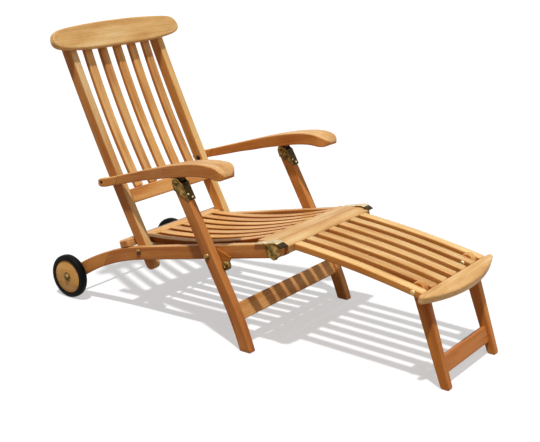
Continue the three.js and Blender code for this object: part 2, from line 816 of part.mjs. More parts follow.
// Footrest
const footrestRear = hingePoint.clone().add(new THREE.Vector2(footrestSlatStart, footrestSlatStartRise));
const footrestCurve = arcBetween(footrestRear, footrestFront, footrestCrown);
const footrestOutline = strip(footrestCurve, footrestSlatDepth, false, false);
const footrestRearTop = footrestOutline[0];
const footrestRearLow = footrestOutline[footrestOutline.length - 1];
const footrestFrontTop = footrestOutline[curveSteps];
const footrestFrontLow = footrestOutline[curveSteps + 1];
const endBoardPitch = THREE.MathUtils.radToDeg(
  Math.atan2(footrestFrontTop.x - footrestFrontLow.x, footrestFrontTop.y - footrestFrontLow.y),
);

function footrestCrossbar() {
  const outline = [
    new THREE.Vector2(footrestCrossbarRear + footrestReliefLength, footrestCrossbarLow),
    new THREE.Vector2(footrestRearLow.x - jointGap, footrestCrossbarLow),
    new THREE.Vector2(footrestRearLow.x - jointGap, footrestRearLow.y),
    new THREE.Vector2(footrestRearTop.x - jointGap, footrestRearTop.y),
    new THREE.Vector2(footrestCrossbarRear, footrestCrossbarTop),
    new THREE.Vector2(footrestCrossbarRear, footrestCrossbarLow + footrestReliefRise),
  ];
  return sideways(outline, 2 * footrestCrossbarHalf, woodArris, 0);
}

function footrestSlat(y, drilled) {
  const body = sideways(footrestOutline, footrestSlatWidth, woodArris, y);
  if (!drilled) {
    return body;
  }
  return cut(body, cylinder(footrestBoltRadius + pinClearance, -legOuter, legOuter, footrestPivot));
}

// The front edge of the end board is an arc across the chair
function endBoard() {
  const arcStart = new THREE.Vector2(endBoardEndReach, -endBoardHalfWidth);
  const arcEnd = new THREE.Vector2(endBoardEndReach, endBoardHalfWidth);
  const outline = [
    new THREE.Vector2(0, -endBoardHalfWidth),
    ...arcBetween(arcStart, arcEnd, endBoardEndReach - endBoardReach),
    new THREE.Vector2(0, endBoardHalfWidth),
  ];
  const geometry = extruded(new THREE.Shape(outline), endBoardThickness, woodArris);
  geometry.translate(jointGap, 0, 0);
  return geometry;
}

const outerFootrestSlat = ((footrestSlatCount - 1) / 2) * footrestSlatPitch;
const footrestGapMiddle = outerFootrestSlat - footrestSlatPitch / 2;
const footrestSlatOuter = outerFootrestSlat + footrestSlatWidth / 2;
const footrestSlatInner = outerFootrestSlat - footrestSlatPitch - footrestSlatWidth / 2;

function footrestBolt(side) {
  const outer = footrestSlatOuter + jointGap;
  const inner = footrestSlatInner - jointGap;
  const rows = [
    ...domeRows(footrestDomeRadius, footrestDomeRise, inner, -1).reverse(),
    [footrestBoltRadius, inner],
    [footrestBoltRadius, outer],
    ...domeRows(footrestDomeRadius, footrestDomeRise, outer, 1),
  ].map(([radius, y]) => [radius, side * y]);
  return turned(rows, pinSides, footrestPivot.x, footrestPivot.y);
}

function footrestHook(side) {
  const inner = footrestCrossbarHalf + jointGap;
  const crossbarLow = footrestCrossbarLow;
  const plate = sideways([
    new THREE.Vector2(hingePoint.x, hingePoint.y - hookEyeRadius),
    new THREE.Vector2(footrestCrossbarRear + footrestReliefLength, crossbarLow - hookTail),
    new THREE.Vector2(footrestCrossbarRear + 2 * footrestReliefLength, crossbarLow - hookTail),
    new THREE.Vector2(footrestRearLow.x, crossbarLow),
    new THREE.Vector2(footrestRearLow.x, hingePoint.y + hookEyeRadius),
    new THREE.Vector2(hingePoint.x, hingePoint.y + hookEyeRadius),
  ], hookThickness, 0, side * (inner + hookThickness / 2));
  const eye = cylinder(hookEyeRadius, side * inner, side * (inner + hookThickness), hingePoint);
  const pin = cylinder(hookPinRadius, side * inner, side * (railInner + hookPinLength), hingePoint);
  return join(plate, eye, pin);
}

// A leg with a rounded top, whose rear edge draws in towards the floor
function footrestLeg(side) {
  const reach = 2 * footrestPivot.y;
  const radius = (footrestLegFront + footrestLegRear) / 2;
  const at = (drop, forward) => downLeg(footrestPivot, footrestLegLean, drop, forward);
  const topPoint = at(0, footrestLegFront - radius);
  const rearward = downLeg(new THREE.Vector2(), footrestLegLean, 0, -1);
  const rearLow = footrestLegRear - (footrestLegTaper * reach) / footrestPivot.y;
  const outline = aboveLevel([
    at(0, -footrestLegRear),
    ...halfCircle(topPoint, rearward, radius),
    at(0, footrestLegFront),
    at(reach, footrestLegFront),
    at(reach, -rearLow),
  ], 0);
  const middle = side * footrestGapMiddle;
  const body = sideways(outline, footrestLegThickness, woodArris, middle);
  return cut(body, cylinder(footrestBoltRadius + pinClearance, -legOuter, legOuter, footrestPivot));
}

function footrestStretcher() {
  const ends = [
    downLeg(footrestPivot, footrestLegLean, footrestStretcherDrop, 0),
    downLeg(footrestPivot, footrestLegLean, footrestStretcherDrop + footrestStretcherDepth, 0),
  ];
  const half = footrestGapMiddle - footrestLegThickness / 2 - jointGap;
  return sideways(strip(ends, footrestStretcherThickness, false, false), 2 * half, woodArris, 0);
}

// Assembly
const chair = new THREE.Group();
chair.name = 'steamer_deck_chair';
const standing = new THREE.Group();
standing.name = 'standing_chair';
chair.add(standing);
standing.add(backGroup);
backGroup.name = 'back_frame';

for (const [label, side] of sides) {
  piece(standing, `side_rail_${label}`, sideRail(side), midTeak);
  piece(standing, `leg_stop_${label}`, legStop(side), deepTeak);
  piece(standing, `leg_bolt_${label}`, legBolt(side), brass);
  piece(standing, `front_bracket_${label}`, frontBracket(side), brass);
  piece(standing, `wheel_disc_${label}`, wheelDisc(side), endGrain);
  piece(standing, `tyre_${label}`, tyre(side), rubber);
  piece(standing, `main_leg_${label}`, mainLeg(side), midTeak);
  piece(standing, `leg_cap_${label}`, legCap(side), brass);
  piece(standing, `arm_${label}`, arm(side), midTeak);
  piece(standing, `arm_lug_${label}`, armLug(side), brass);
  piece(standing, `footrest_hook_${label}`, footrestHook(side), brass);
  piece(standing, `footrest_bolt_${label}`, footrestBolt(side), brass);
  piece(standing, `footrest_leg_${label}`, footrestLeg(side), lightTeak);
  piece(backGroup, `back_upright_${label}`, upright(side), midTeak);
  piece(backGroup, `arm_pin_${label}`, armPin(side), brass);
}

const crossbarLength = 2 * railOuter;
piece(standing, 'rear_crossbar', sideways(rearCrossbarOutline(), crossbarLength, woodArris, 0), midTeak);
const rearRailLength = 2 * (uprightInner - 2 * jointGap);
piece(standing, 'seat_rear_rail', sideways(seatRearRailOutline(), rearRailLength, woodArris, 0), lightTeak);
piece(standing, 'seat_front_rail', seatFrontRail(), midTeak);
spread(seatSlatCount, seatSlatPitch).forEach((y, index) => {
  piece(standing, `seat_slat_${index + 1}`, sideways(seatOutline, seatSlatWidth, woodArris, y), lightTeak);
});

const axleReach = wheelInner + wheelWidth - discInset + jointGap;
piece(standing, 'wheel_axle', domedRod(axleRadius, axleCapRadius, axleCapRise, axleReach, axlePoint), brass);
const rodReach = railOuter + jointGap;
piece(standing, 'back_pivot_rod', domedRod(rodRadius, domeRadius, domeRise, rodReach, backPivot), brass);

piece(backGroup, 'headboard', headboard(), midTeak);
piece(backGroup, 'back_lower_rail', backLowerRail(), midTeak);
spread(backSlatCount, backSlatPitch).forEach((y, index) => {
  piece(backGroup, `back_slat_${index + 1}`, backSlat(y), lightTeak);
});

piece(standing, 'leg_stretcher', legStretcher(), midTeak);

piece(standing, 'footrest_crossbar', footrestCrossbar(), midTeak);
spread(footrestSlatCount, footrestSlatPitch).forEach((y, index) => {
  const outerTwo = index < 2 || index > footrestSlatCount - 3;
  piece(standing, `footrest_slat_${index + 1}`, footrestSlat(y, outerTwo), lightTeak);
});
const board = piece(standing, 'footrest_end_board', endBoard(), midTeak);
board.position.set(footrestFront.x, 0, footrestFront.y);
board.rotation.y = toRad(endBoardPitch);
piece(standing, 'footrest_stretcher', footrestStretcher(), lightTeak);

// The chair stands centred over the origin
chair.updateMatrixWorld(true);
const bounds = new THREE.Box3().setFromObject(chair, true);
standing.position.x = -(bounds.min.x + bounds.max.x) / 2;

export default chair;
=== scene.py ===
"""Steamer deck chair in oiled teak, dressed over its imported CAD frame.

Sizes are millimetres until a mesh is made. X runs from the wheels to the foot end, Y across and
Z up. The side view is measured from the wheel axle, and AXLE_X moves it to its place in the frame.
"""

import math
from functools import partial

import bpy
import numpy as np
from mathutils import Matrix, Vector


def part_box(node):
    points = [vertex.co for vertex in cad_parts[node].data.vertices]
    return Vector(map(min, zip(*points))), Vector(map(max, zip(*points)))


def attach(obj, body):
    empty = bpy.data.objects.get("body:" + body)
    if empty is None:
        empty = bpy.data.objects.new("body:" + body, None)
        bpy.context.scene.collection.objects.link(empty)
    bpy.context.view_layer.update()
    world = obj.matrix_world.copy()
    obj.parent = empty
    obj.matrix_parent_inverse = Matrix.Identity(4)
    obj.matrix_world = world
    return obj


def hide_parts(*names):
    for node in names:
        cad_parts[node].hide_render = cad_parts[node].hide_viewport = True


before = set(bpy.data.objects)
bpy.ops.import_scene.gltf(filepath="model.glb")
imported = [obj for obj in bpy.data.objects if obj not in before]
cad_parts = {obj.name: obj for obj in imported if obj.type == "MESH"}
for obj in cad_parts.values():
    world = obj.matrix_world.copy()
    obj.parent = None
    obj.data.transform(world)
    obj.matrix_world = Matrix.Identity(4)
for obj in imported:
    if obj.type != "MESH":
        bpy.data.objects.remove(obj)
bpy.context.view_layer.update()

MM = 0.001
axle_low, axle_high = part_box("wheel_axle")
AXLE_X = (axle_low[0] + axle_high[0]) / 2 / MM
chance = np.random.default_rng(7)

# Places across the chair, on its far side; the near side mirrors them
UPRIGHT_Y = 199.0
UPRIGHT_WIDTH = 28.0
RAIL_Y = 226.5
RAIL_WIDTH = 25.0
RAIL_INNER = RAIL_Y - RAIL_WIDTH / 2
RAIL_OUTER = RAIL_Y + RAIL_WIDTH / 2
LEG_Y = 261.0
LEG_WIDTH = 28.0
LEG_INNER = LEG_Y - LEG_WIDTH / 2
LEG_OUTER = LEG_Y + LEG_WIDTH / 2
WHEEL_Y = 255.0
WHEEL_OUTER = 266.0

# Side rail and linkage: the rail bends from one pitch to the other, and then runs straight
WHEEL_RADIUS = 72.0
RAIL_DEPTH = 42.0
RAIL_BEND = 850.0
RAIL_START = 35.0
RAIL_PITCH = 12.0
RAIL_STRAIGHT = 527.1
BACK_PIVOT_AT = (-9.1, 4.3)
LEG_PIVOT_AT = (304.3, -3.5)
LEG_DEPTH = 36.0
LINK = 231.0
LINK_LEAN = 28.5
LEG_LEAN = 29.2
FOOT_LEAN = 17.9
BACK_LEAN = 26.6

# Rounding of the boards' edges, and the gap where two pieces meet
ARRIS = 3.2
SLAT_ARRIS = 3.6
JOINT = 0.3

# Helpers for points and tracks


def heading(degrees):
    """Unit vector in the side view at a pitch above the level line."""
    angle = math.radians(degrees)
    return np.array([math.cos(angle), math.sin(angle)])


def off(point, pitch, along, rise):
    """The point moved along a pitch and square to it, to its left."""
    run = heading(pitch)
    return np.asarray(point, float) + run * along + np.array([-run[1], run[0]]) * rise


def down(point, lean, drop, forward=0.0):
    """The point moved down a leaning line and forward of it."""
    return off(point, lean - 90.0, drop, forward)


def bowed(start, end, rise, count=160):
    """Circular arc between two points that bulges to the left of the line by the rise."""
    start, end = np.asarray(start, float), np.asarray(end, float)
    chord = end - start
    length = np.linalg.norm(chord)
    left = np.array([-chord[1], chord[0]]) / length
    radius = (length**2 / 4 + rise**2) / (2 * abs(rise))
    half = math.asin(length / 2 / radius)
    angle = np.linspace(-half, half, count)
    share = (np.sin(angle) / math.sin(half) + 1) / 2
    bulge = (np.cos(angle) - math.cos(half)) * radius * math.copysign(1, rise)
    return start + np.outer(share, chord) + np.outer(bulge, left)


def lengthened(points, before, after):
    """The track with straight runs added before its first point and after its last."""
    first = points[0] - (points[1] - points[0]) / np.linalg.norm(points[1] - points[0]) * before
    last = points[-1] + (points[-1] - points[-2]) / np.linalg.norm(points[-1] - points[-2]) * after
    parts = [points]
    if before:
        parts.insert(0, first[None])
    if after:
        parts.append(last[None])
    return np.concatenate(parts)


def measured(points):
    """Distance along a track at each of its points."""
    steps = np.linalg.norm(np.diff(points, axis=0), axis=1)
    return np.concatenate([[0], np.cumsum(steps)])


def unit(rows):
    """Each row as a direction of length 1."""
    return rows / np.linalg.norm(rows, axis=1, keepdims=True)


def read_at(places, reach, rows):
    """Rows read off between the known ones, at the given distances."""
    return np.stack([np.interp(places, reach, column) for column in rows.T], 1)


def along_track(points, places):
    """Points and unit directions of a track at the given distances."""
    reach = measured(points)
    run = read_at(places, reach, np.gradient(points, reach, axis=0))
    return read_at(places, reach, points), unit(run)


def resampled(points, count):
    """The same track with its points at equal distances."""
    reach = measured(points)
    return read_at(np.linspace(0, reach[-1], count), reach, points)


def square_to(track, index, half):
    """Points above and below one end of a track, half the depth away from it."""
    run = track[1] - track[0] if index == 0 else track[-1] - track[-2]
    normal = np.array([-run[1], run[0]]) / np.linalg.norm(run) * half
    return track[index] + normal, track[index] - normal


def arc_points(centre, radius, start, end, count):
    """Points on part of a circle in the side view."""
    angle = np.radians(np.linspace(start, end, count))
    return np.asarray(centre) + radius * np.stack([np.cos(angle), np.sin(angle)], 1)


def eased(points, count=60):
    """A smooth curve through a few points: cubic pieces whose slopes come from the neighbours."""
    points = np.asarray(points, float)
    knots = measured(points)
    slope = np.gradient(points, knots, axis=0)
    places = np.linspace(0, knots[-1], count)
    spot = np.clip(np.searchsorted(knots, places, side="right") - 1, 0, len(knots) - 2)
    gap = knots[spot + 1] - knots[spot]
    t = ((places - knots[spot]) / gap)[:, None]
    gap = gap[:, None]
    h00, h10 = 2 * t**3 - 3 * t**2 + 1, t**3 - 2 * t**2 + t
    h01, h11 = -2 * t**3 + 3 * t**2, t**3 - t**2
    return h00 * points[spot] + h10 * gap * slope[spot] + h01 * points[spot + 1] + h11 * gap * slope[spot + 1]


# Places of the linkage

AXLE = np.array([0.0, WHEEL_RADIUS])
bend_angles = np.radians(np.linspace(RAIL_START, RAIL_PITCH, 90))
rail_bend = np.stack(
    [
        RAIL_BEND * (math.sin(math.radians(RAIL_START)) - np.sin(bend_angles)),
        WHEEL_RADIUS + RAIL_BEND * (np.cos(bend_angles) - math.cos(math.radians(RAIL_START))),
    ],
    1,
)
BEND_END = rail_bend[-1]
HINGE = off(BEND_END, RAIL_PITCH, RAIL_STRAIGHT, 0)
BACK_PIVOT = off(BEND_END, RAIL_PITCH, *BACK_PIVOT_AT)
LEG_PIVOT = off(BEND_END, RAIL_PITCH, *LEG_PIVOT_AT)
ARM_PIVOT = down(BACK_PIVOT, LINK_LEAN, -LINK)
LEG_TOP = down(LEG_PIVOT, LINK_LEAN, -LINK)
FOOT_PIVOT = np.array([1240.0, 270.0])


def in_back(u, v):
    """Side-view point from the backrest's own measures: u up the back, v forward."""
    return off(BACK_PIVOT, BACK_LEAN, v, u)


# Materials


def rgb(text):
    """Linear colour with alpha from an sRGB hex value."""
    parts = [int(text[k : k + 2], 16) / 255 for k in (0, 2, 4)]
    return [p / 12.92 if p <= 0.04045 else ((p + 0.055) / 1.055) ** 2.4 for p in parts] + [1.0]


def add_node(tree, kind, settings=None, stops=(), **inputs):
    """Adds one node with its settings, a colour ramp's stops, and a value or link for each named or
    numbered input."""
    made = tree.nodes.new(kind)
    for key, value in (settings or {}).items():
        setattr(made, key, value)
    for index, (place, colour) in enumerate(stops):
        elements = made.color_ramp.elements
        element = elements[index] if index < len(elements) else elements.new(place)
        element.position = place
        element.color = colour
    for key, value in inputs.items():
        name = int(key[1:]) if key[0] == "i" and key[1:].isdigit() else key.replace("_", " ")
        if isinstance(value, bpy.types.NodeSocket):
            tree.links.new(value, made.inputs[name])
        else:
            made.inputs[name].default_value = value
    return made


def new_material(name):
    """An empty material, and the function that adds nodes to it."""
    material = bpy.data.materials.new(name)
    material.use_nodes = True
    material.node_tree.nodes.clear()
    return material, partial(add_node, material.node_tree)


BLACK = (0.0, 0.0, 0.0, 1.0)
WHITE = (1.0, 1.0, 1.0, 1.0)
MATHS = "ShaderNodeMath"
MIX = "ShaderNodeMix"
NOISE = "ShaderNodeTexNoise"
RAMP = "ShaderNodeValToRGB"
NUMBERS = {"data_type": "FLOAT"}
MULTIPLY = {"data_type": "RGBA", "blend_type": "MULTIPLY"}
# What the wood's colour is multiplied by in its pores, as painted shade on the faces away from the light, and
# as darker painted shade in narrow gaps
PORE_TINT = (0.66, 0.56, 0.46, 1.0)
PAINTED_SHADE_TINT = (0.80, 0.53, 0.30, 1.0)
GAP_SHADE_TINT = (0.52, 0.38, 0.22, 1.0)
SEAM_COLOUR = (0.22, 0.13, 0.07, 1.0)


def oiled_teak(name, pale, warm, brown, gloss=0.40, flame=0.055):
    """Planed and oiled teak. It shows long streaks a few millimetres wide, broad paler and browner
    bands, faint flames where the growth rings are cut, and short dark pores. Painted shade gives the
    faces away from the light a deeper orange and the narrow gaps a browner one; the ends are darker
    too. The attribute grain holds the place in the board, along it first; joint is the distance from
    a glued joint in centimetres, deep is the painted shade, 1 on shaded faces and up to 2 in the gaps,
    and tone is the board's own lightness."""
    material, node = new_material(name)
    attributes = [node("ShaderNodeAttribute", {"attribute_name": title}).outputs
                  for title in ("grain", "tone", "joint", "deep")]
    grain = attributes[0]["Vector"]
    tone, joint, deep = (outputs["Fac"] for outputs in attributes[1:])
    # Past a glued joint the board is another one, so its grain starts at another place
    beyond = node(MATHS, {"operation": "GREATER_THAN"}, i0=joint, i1=0.0).outputs[0]
    step = node("ShaderNodeCombineXYZ", X=beyond, Y=beyond, Z=beyond).outputs[0]
    moved = node("ShaderNodeVectorMath", {"operation": "MULTIPLY_ADD"}, i0=step, i1=(0.7, 0.011, 0.007),
                 i2=grain).outputs[0]
    # Distorted rings round a heart that lies behind the board
    heart = node("ShaderNodeMapping", Vector=moved, Location=(0.0, 0.006, 0.03), Scale=(0.10, 1.0, 1.0))
    flames = node("ShaderNodeTexWave", {"wave_type": "RINGS", "rings_direction": "X"},
                  Vector=heart.outputs[0], Scale=45.0, Distortion=9.0, Detail=2.0,
                  Detail_Scale=0.5).outputs["Fac"]

    def drawn_out(along, across_board, **character):
        """Noise that is drawn out along the board: so many spots a metre along it and across it."""
        place = node("ShaderNodeMapping", Vector=moved, Scale=(along, across_board, across_board))
        return node(NOISE, Vector=place.outputs[0], Scale=1.0, **character).outputs["Fac"]

    # Bands about 20 mm wide, streaks about 4 mm wide and pores under 1 mm wide
    bands = drawn_out(2.0, 48.0, Detail=2.0)
    streaks = drawn_out(5.0, 230.0, Detail=3.0, Roughness=0.6)
    pores = drawn_out(60.0, 1300.0, Detail=1.0)
    # Soft clouds 40 mm wide carry most of the colour, and the streaks only a little
    clouds = drawn_out(5.0, 24.0, Detail=2.0)
    lines = node(MIX, NUMBERS, i0=0.36, i2=bands, i3=streaks).outputs[0]
    lines = node(MIX, NUMBERS, i0=0.55, i2=lines, i3=clouds).outputs[0]
    figure = node(MIX, NUMBERS, i0=flame, i2=lines, i3=flames).outputs[0]
    wood = node(RAMP, None, [(0.36, rgb(pale)), (0.5, rgb(warm)), (0.68, rgb(brown))], i0=figure).outputs[0]
    specks = node(RAMP, None, [(0.62, BLACK), (0.72, WHITE)], i0=pores).outputs[0]
    wood = node(MIX, MULTIPLY, i0=specks, i6=wood, i7=PORE_TINT).outputs[2]
    # Painted shade: the faces away from the light get a deeper orange
    wood = node(MIX, MULTIPLY, i0=deep, i6=wood, i7=PAINTED_SHADE_TINT).outputs[2]
    # Painted shade in the narrow gaps of the seat and in the seat's joint to the footrest: the wood is
    # browner again
    gap_shading = node(MATHS, {"operation": "SUBTRACT", "use_clamp": True}, i0=deep, i1=1.0).outputs[0]
    wood = node(MIX, MULTIPLY, i0=gap_shading, i6=wood, i7=GAP_SHADE_TINT).outputs[2]
    near = node(MATHS, {"operation": "ABSOLUTE"}, i0=joint).outputs[0]
    seam = node(RAMP, None, [(0.06, SEAM_COLOUR), (0.13, WHITE)], i0=near).outputs[0]
    wood = node(MIX, MULTIPLY, i0=1.0, i6=wood, i7=seam).outputs[2]
    side_tone = node(MATHS, {"operation": "MULTIPLY_ADD"}, i0=beyond, i1=0.10, i2=tone).outputs[0]
    # Darker boards are the redder ones
    hue = node(MATHS, {"operation": "MULTIPLY_ADD"}, i0=side_tone, i1=0.03, i2=0.47).outputs[0]
    wood = node("ShaderNodeHueSaturation", Color=wood, Value=side_tone, Hue=hue).outputs[0]
    relief = node(MIX, NUMBERS, i0=0.3, i2=streaks, i3=pores).outputs[0]
    bump = node("ShaderNodeBump", Height=relief, Strength=0.35, Distance=0.0003).outputs[0]
    rough = node("ShaderNodeMapRange", Value=streaks, From_Min=0.3, From_Max=0.7, To_Min=gloss,
                 To_Max=gloss + 0.16).outputs[0]
    shader = node("ShaderNodeBsdfPrincipled", Base_Color=wood, Roughness=rough, IOR=1.47, Normal=bump,
                  Specular_IOR_Level=0.22)
    node("ShaderNodeOutputMaterial", Surface=shader.outputs[0])
    return material


def aged_brass(name, bright, dull, rough):
    """Brass left outdoors, with brighter rubbed spots between brown tarnish in clouds about 15 mm
    wide, painted shade that browns the faces turned down and a painted highlight on those turned
    up, and a fine grit from the casting."""
    material, node = new_material(name)
    place = node("ShaderNodeTexCoord").outputs["Object"]
    cloud = node(NOISE, Vector=place, Scale=65.0, Detail=2.0).outputs["Fac"]
    grit = node(NOISE, Vector=place, Scale=900.0, Detail=2.0).outputs["Fac"]
    facing = node("ShaderNodeTexCoord").outputs["Normal"]
    upward = node("ShaderNodeSeparateXYZ", Vector=facing).outputs["Z"]
    # Painted light: faces turned down are browner, faces turned up paler
    painted_light_by_facing = node("ShaderNodeMapRange", Value=upward, From_Min=-0.6, From_Max=0.5, To_Min=0.3,
                 To_Max=-0.1).outputs[0]
    stain = node(MATHS, {"operation": "ADD"}, i0=cloud, i1=painted_light_by_facing).outputs[0]
    colour = node(RAMP, None, [(0.3, rgb(bright)), (0.7, rgb(dull))], i0=stain).outputs[0]
    roughness = node("ShaderNodeMapRange", Value=cloud, From_Min=0.3, From_Max=0.7, To_Min=rough,
                     To_Max=rough + 0.2).outputs[0]
    bump = node("ShaderNodeBump", Height=grit, Strength=0.25, Distance=0.0002).outputs[0]
    shader = node("ShaderNodeBsdfPrincipled", Base_Color=colour, Metallic=1.0, Roughness=roughness,
                  Normal=bump)
    node("ShaderNodeOutputMaterial", Surface=shader.outputs[0])
    return material


def moulded_rubber(name, colour, dust):
    """Moulded black rubber, matt, with a little pale dust in clouds about 20 mm wide."""
    material, node = new_material(name)
    place = node("ShaderNodeTexCoord").outputs["Object"]
    cloud = node(NOISE, Vector=place, Scale=45.0, Detail=5.0).outputs["Fac"]
    grit = node(NOISE, Vector=place, Scale=1400.0, Detail=2.0).outputs["Fac"]
    shade = node(RAMP, None, [(0.42, rgb(colour)), (0.85, rgb(dust))], i0=cloud).outputs[0]
    bump = node("ShaderNodeBump", Height=grit, Strength=0.3, Distance=0.0002).outputs[0]
    shader = node("ShaderNodeBsdfPrincipled", Base_Color=shade, Roughness=0.5, IOR=1.52, Normal=bump,
                  Specular_IOR_Level=0.07)
    node("ShaderNodeOutputMaterial", Surface=shader.outputs[0])
    return material


SLAT_TEAK = oiled_teak("oiled_teak_slats", "e8b97a", "dba563", "b9763a")
RAIL_TEAK = oiled_teak("oiled_teak_rails", "e9bf86", "dba96c", "b97e46")
FACE_TEAK = oiled_teak("oiled_teak_boards", "f0cd93", "e2b372", "bf8643")
DEEP_TEAK = oiled_teak("oiled_teak_wedges", "cf8f42", "b4722e", "874b1b")
# Near black teak as painted shade inside the spare hole
BORE_SHADE = oiled_teak("oiled_teak_bore_painted_shade", "2a1a0e", "1d1209", "120a05", 0.7)
WHEEL_TEAK = oiled_teak("oiled_teak_wheels", "ecbc78", "dca65f", "bc7f3f")
BRASS = aged_brass("aged_brass", "b08e50", "4a3618", 0.34)
# Darker and paler copies of the brass: painted shade for parts that sit in shade, painted highlight for the
# strap, screws and bolts
SHADE_BRASS = aged_brass("brass_painted_shade", "46381c", "241a0d", 0.40)
HIGHLIGHT_BRASS = aged_brass("brass_painted_highlight", "f0dcb0", "b08a4c", 0.26)
RUBBER = moulded_rubber("moulded_rubber", "050403", "12100f")


# Meshes

# Edges that turn by more than this many degrees stay sharp
SHARP_EDGE = 38
# Each board is cut from its own place in the wood, up to so many metres along it and off its heart,
# and has its own lightness
BOARD_START, BOARD_SHIFT = 9, 0.012
BOARD_TONES = (0.88, 1.07)
# A board without a glued joint has it far away, in centimetres
NO_JOINT = -9.0
# Every flat has a line of points this far inside its edges, which keeps its shading level
SUPPORT = 1.2


def add_object(name, data):
    """A new object in the scene, for a mesh, a lamp or a camera."""
    made = bpy.data.objects.new(name, data)
    bpy.context.scene.collection.objects.link(made)
    return made


def make_piece(name, verts, faces, material, body, nodes, grain=None, joint=None, deep=None):
    """A finished piece: mesh in millimetres from the axle, with its board's fields stored on it."""
    verts = np.asarray(verts, float).reshape(-1, 3)
    placed = (verts + [AXLE_X, 0, 0]) * MM
    mesh = bpy.data.meshes.new(name)
    mesh.from_pydata(placed.tolist(), [], [list(map(int, f)) for f in faces])
    mesh.update()
    corners = np.array([placed[list(f)].mean(0) for f in faces])
    normals = np.array([p.normal for p in mesh.polygons])
    areas = np.array([p.area for p in mesh.polygons])
    if ((corners - placed.mean(0)) * normals).sum(1) @ areas < 0:
        mesh.flip_normals()
    mesh.polygons.foreach_set("use_smooth", np.ones(len(mesh.polygons), bool))
    mesh.set_sharp_from_angle(angle=math.radians(SHARP_EDGE))
    if grain is not None:
        shift = chance.uniform(-BOARD_SHIFT, BOARD_SHIFT, 3) + [chance.uniform(0, BOARD_START), 0, 0]
        field = mesh.attributes.new("grain", "FLOAT_VECTOR", "POINT")
        field.data.foreach_set("vector", (np.asarray(grain, float).reshape(-1, 3) * MM + shift).ravel())
        count = len(verts)
        fields = {
            "tone": np.full(count, chance.uniform(*BOARD_TONES)),
            "joint": np.full(count, NO_JOINT) if joint is None else joint,
            "deep": np.zeros(count) if deep is None else deep,
        }
        for title, values in fields.items():
            field = mesh.attributes.new(title, "FLOAT", "POINT")
            field.data.foreach_set("value", np.asarray(values, float).ravel())
    mesh.materials.append(material)
    piece = add_object(name, mesh)
    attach(piece, body)
    if nodes:
        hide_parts(*nodes)
    return piece


def rounded(outline, radius, steps=5):
    """The outline with each corner replaced by a curve: a parabola that leaves both edges at the
    radius from the corner, or near the middle of the edge where that is shorter."""
    outline = np.asarray(outline, float)
    edges = np.stack([np.roll(outline, 1, 0) - outline, np.roll(outline, -1, 0) - outline])
    lengths = np.linalg.norm(edges, axis=2, keepdims=True)
    starts, ends = outline + edges / lengths * np.minimum(radius, lengths * 0.44)
    first, last = outline + edges / lengths * np.minimum(radius + SUPPORT, lengths * 0.48)
    t = np.linspace(0, 1, steps)[None, :, None]
    curve = (1 - t) ** 2 * starts[:, None] + 2 * t * (1 - t) * outline[:, None] + t**2 * ends[:, None]
    return np.concatenate([first[:, None], curve, last[:, None]], 1).reshape(-1, 2)


def section(half_up, half_side, arris):
    """Rounded rectangles, one a row: offsets (up, side) round each section. A corner is an arc of
    four points, with one more point on the flat at either side of it."""
    least = np.minimum(half_up, half_side)[:, None]
    radius = np.minimum(least, arris) * 0.999
    slide = np.minimum(SUPPORT, 0.4 * (least - radius)) * np.tile([-1, 0, 0, 0, 0, 1], 4)
    corner = np.repeat(np.arange(4), 6)
    angle = (corner + np.tile([0, 0, 1 / 3, 2 / 3, 1, 1], 4)) * math.pi / 2
    up_sign = np.array([1, 1, -1, -1])[corner]
    side_sign = np.array([1, -1, -1, 1])[corner]
    up = up_sign * (half_up[:, None] - radius) + radius * np.sin(angle) + slide * np.cos(angle)
    side = side_sign * (half_side[:, None] - radius) + radius * np.cos(angle) - slide * np.sin(angle)
    return up, side


def tube_faces(rings, sides):
    """Quads between rings of equal size, closed by a flat face at each end."""
    ring = np.arange(rings - 1)[:, None] * sides
    step = np.arange(sides)[None]
    after = (step + 1) % sides
    quads = np.stack([ring + step, ring + after, ring + sides + after, ring + sides + step], -1)
    ends = [list(range(sides))[::-1], list(range((rings - 1) * sides, rings * sides))]
    return quads.reshape(-1, 4).tolist() + ends


def end_stations(kind, half, arris):
    """Distances from an end, share of depth there and inset: rounded over the arris or a half circle."""
    if kind == "round":
        angle = np.radians(np.linspace(6, 90, 10))
        places = half * (1 - np.cos(angle))
        deep = half * np.sin(angle)
        reach = np.clip(arris - places, 0, arris)
        inset = arris - np.sqrt(arris**2 - reach**2)
        return places, deep, inset
    angle = np.linspace(0, math.pi / 2, 4)
    return arris * (1 - np.cos(angle)), None, arris * (1 - np.sin(angle))


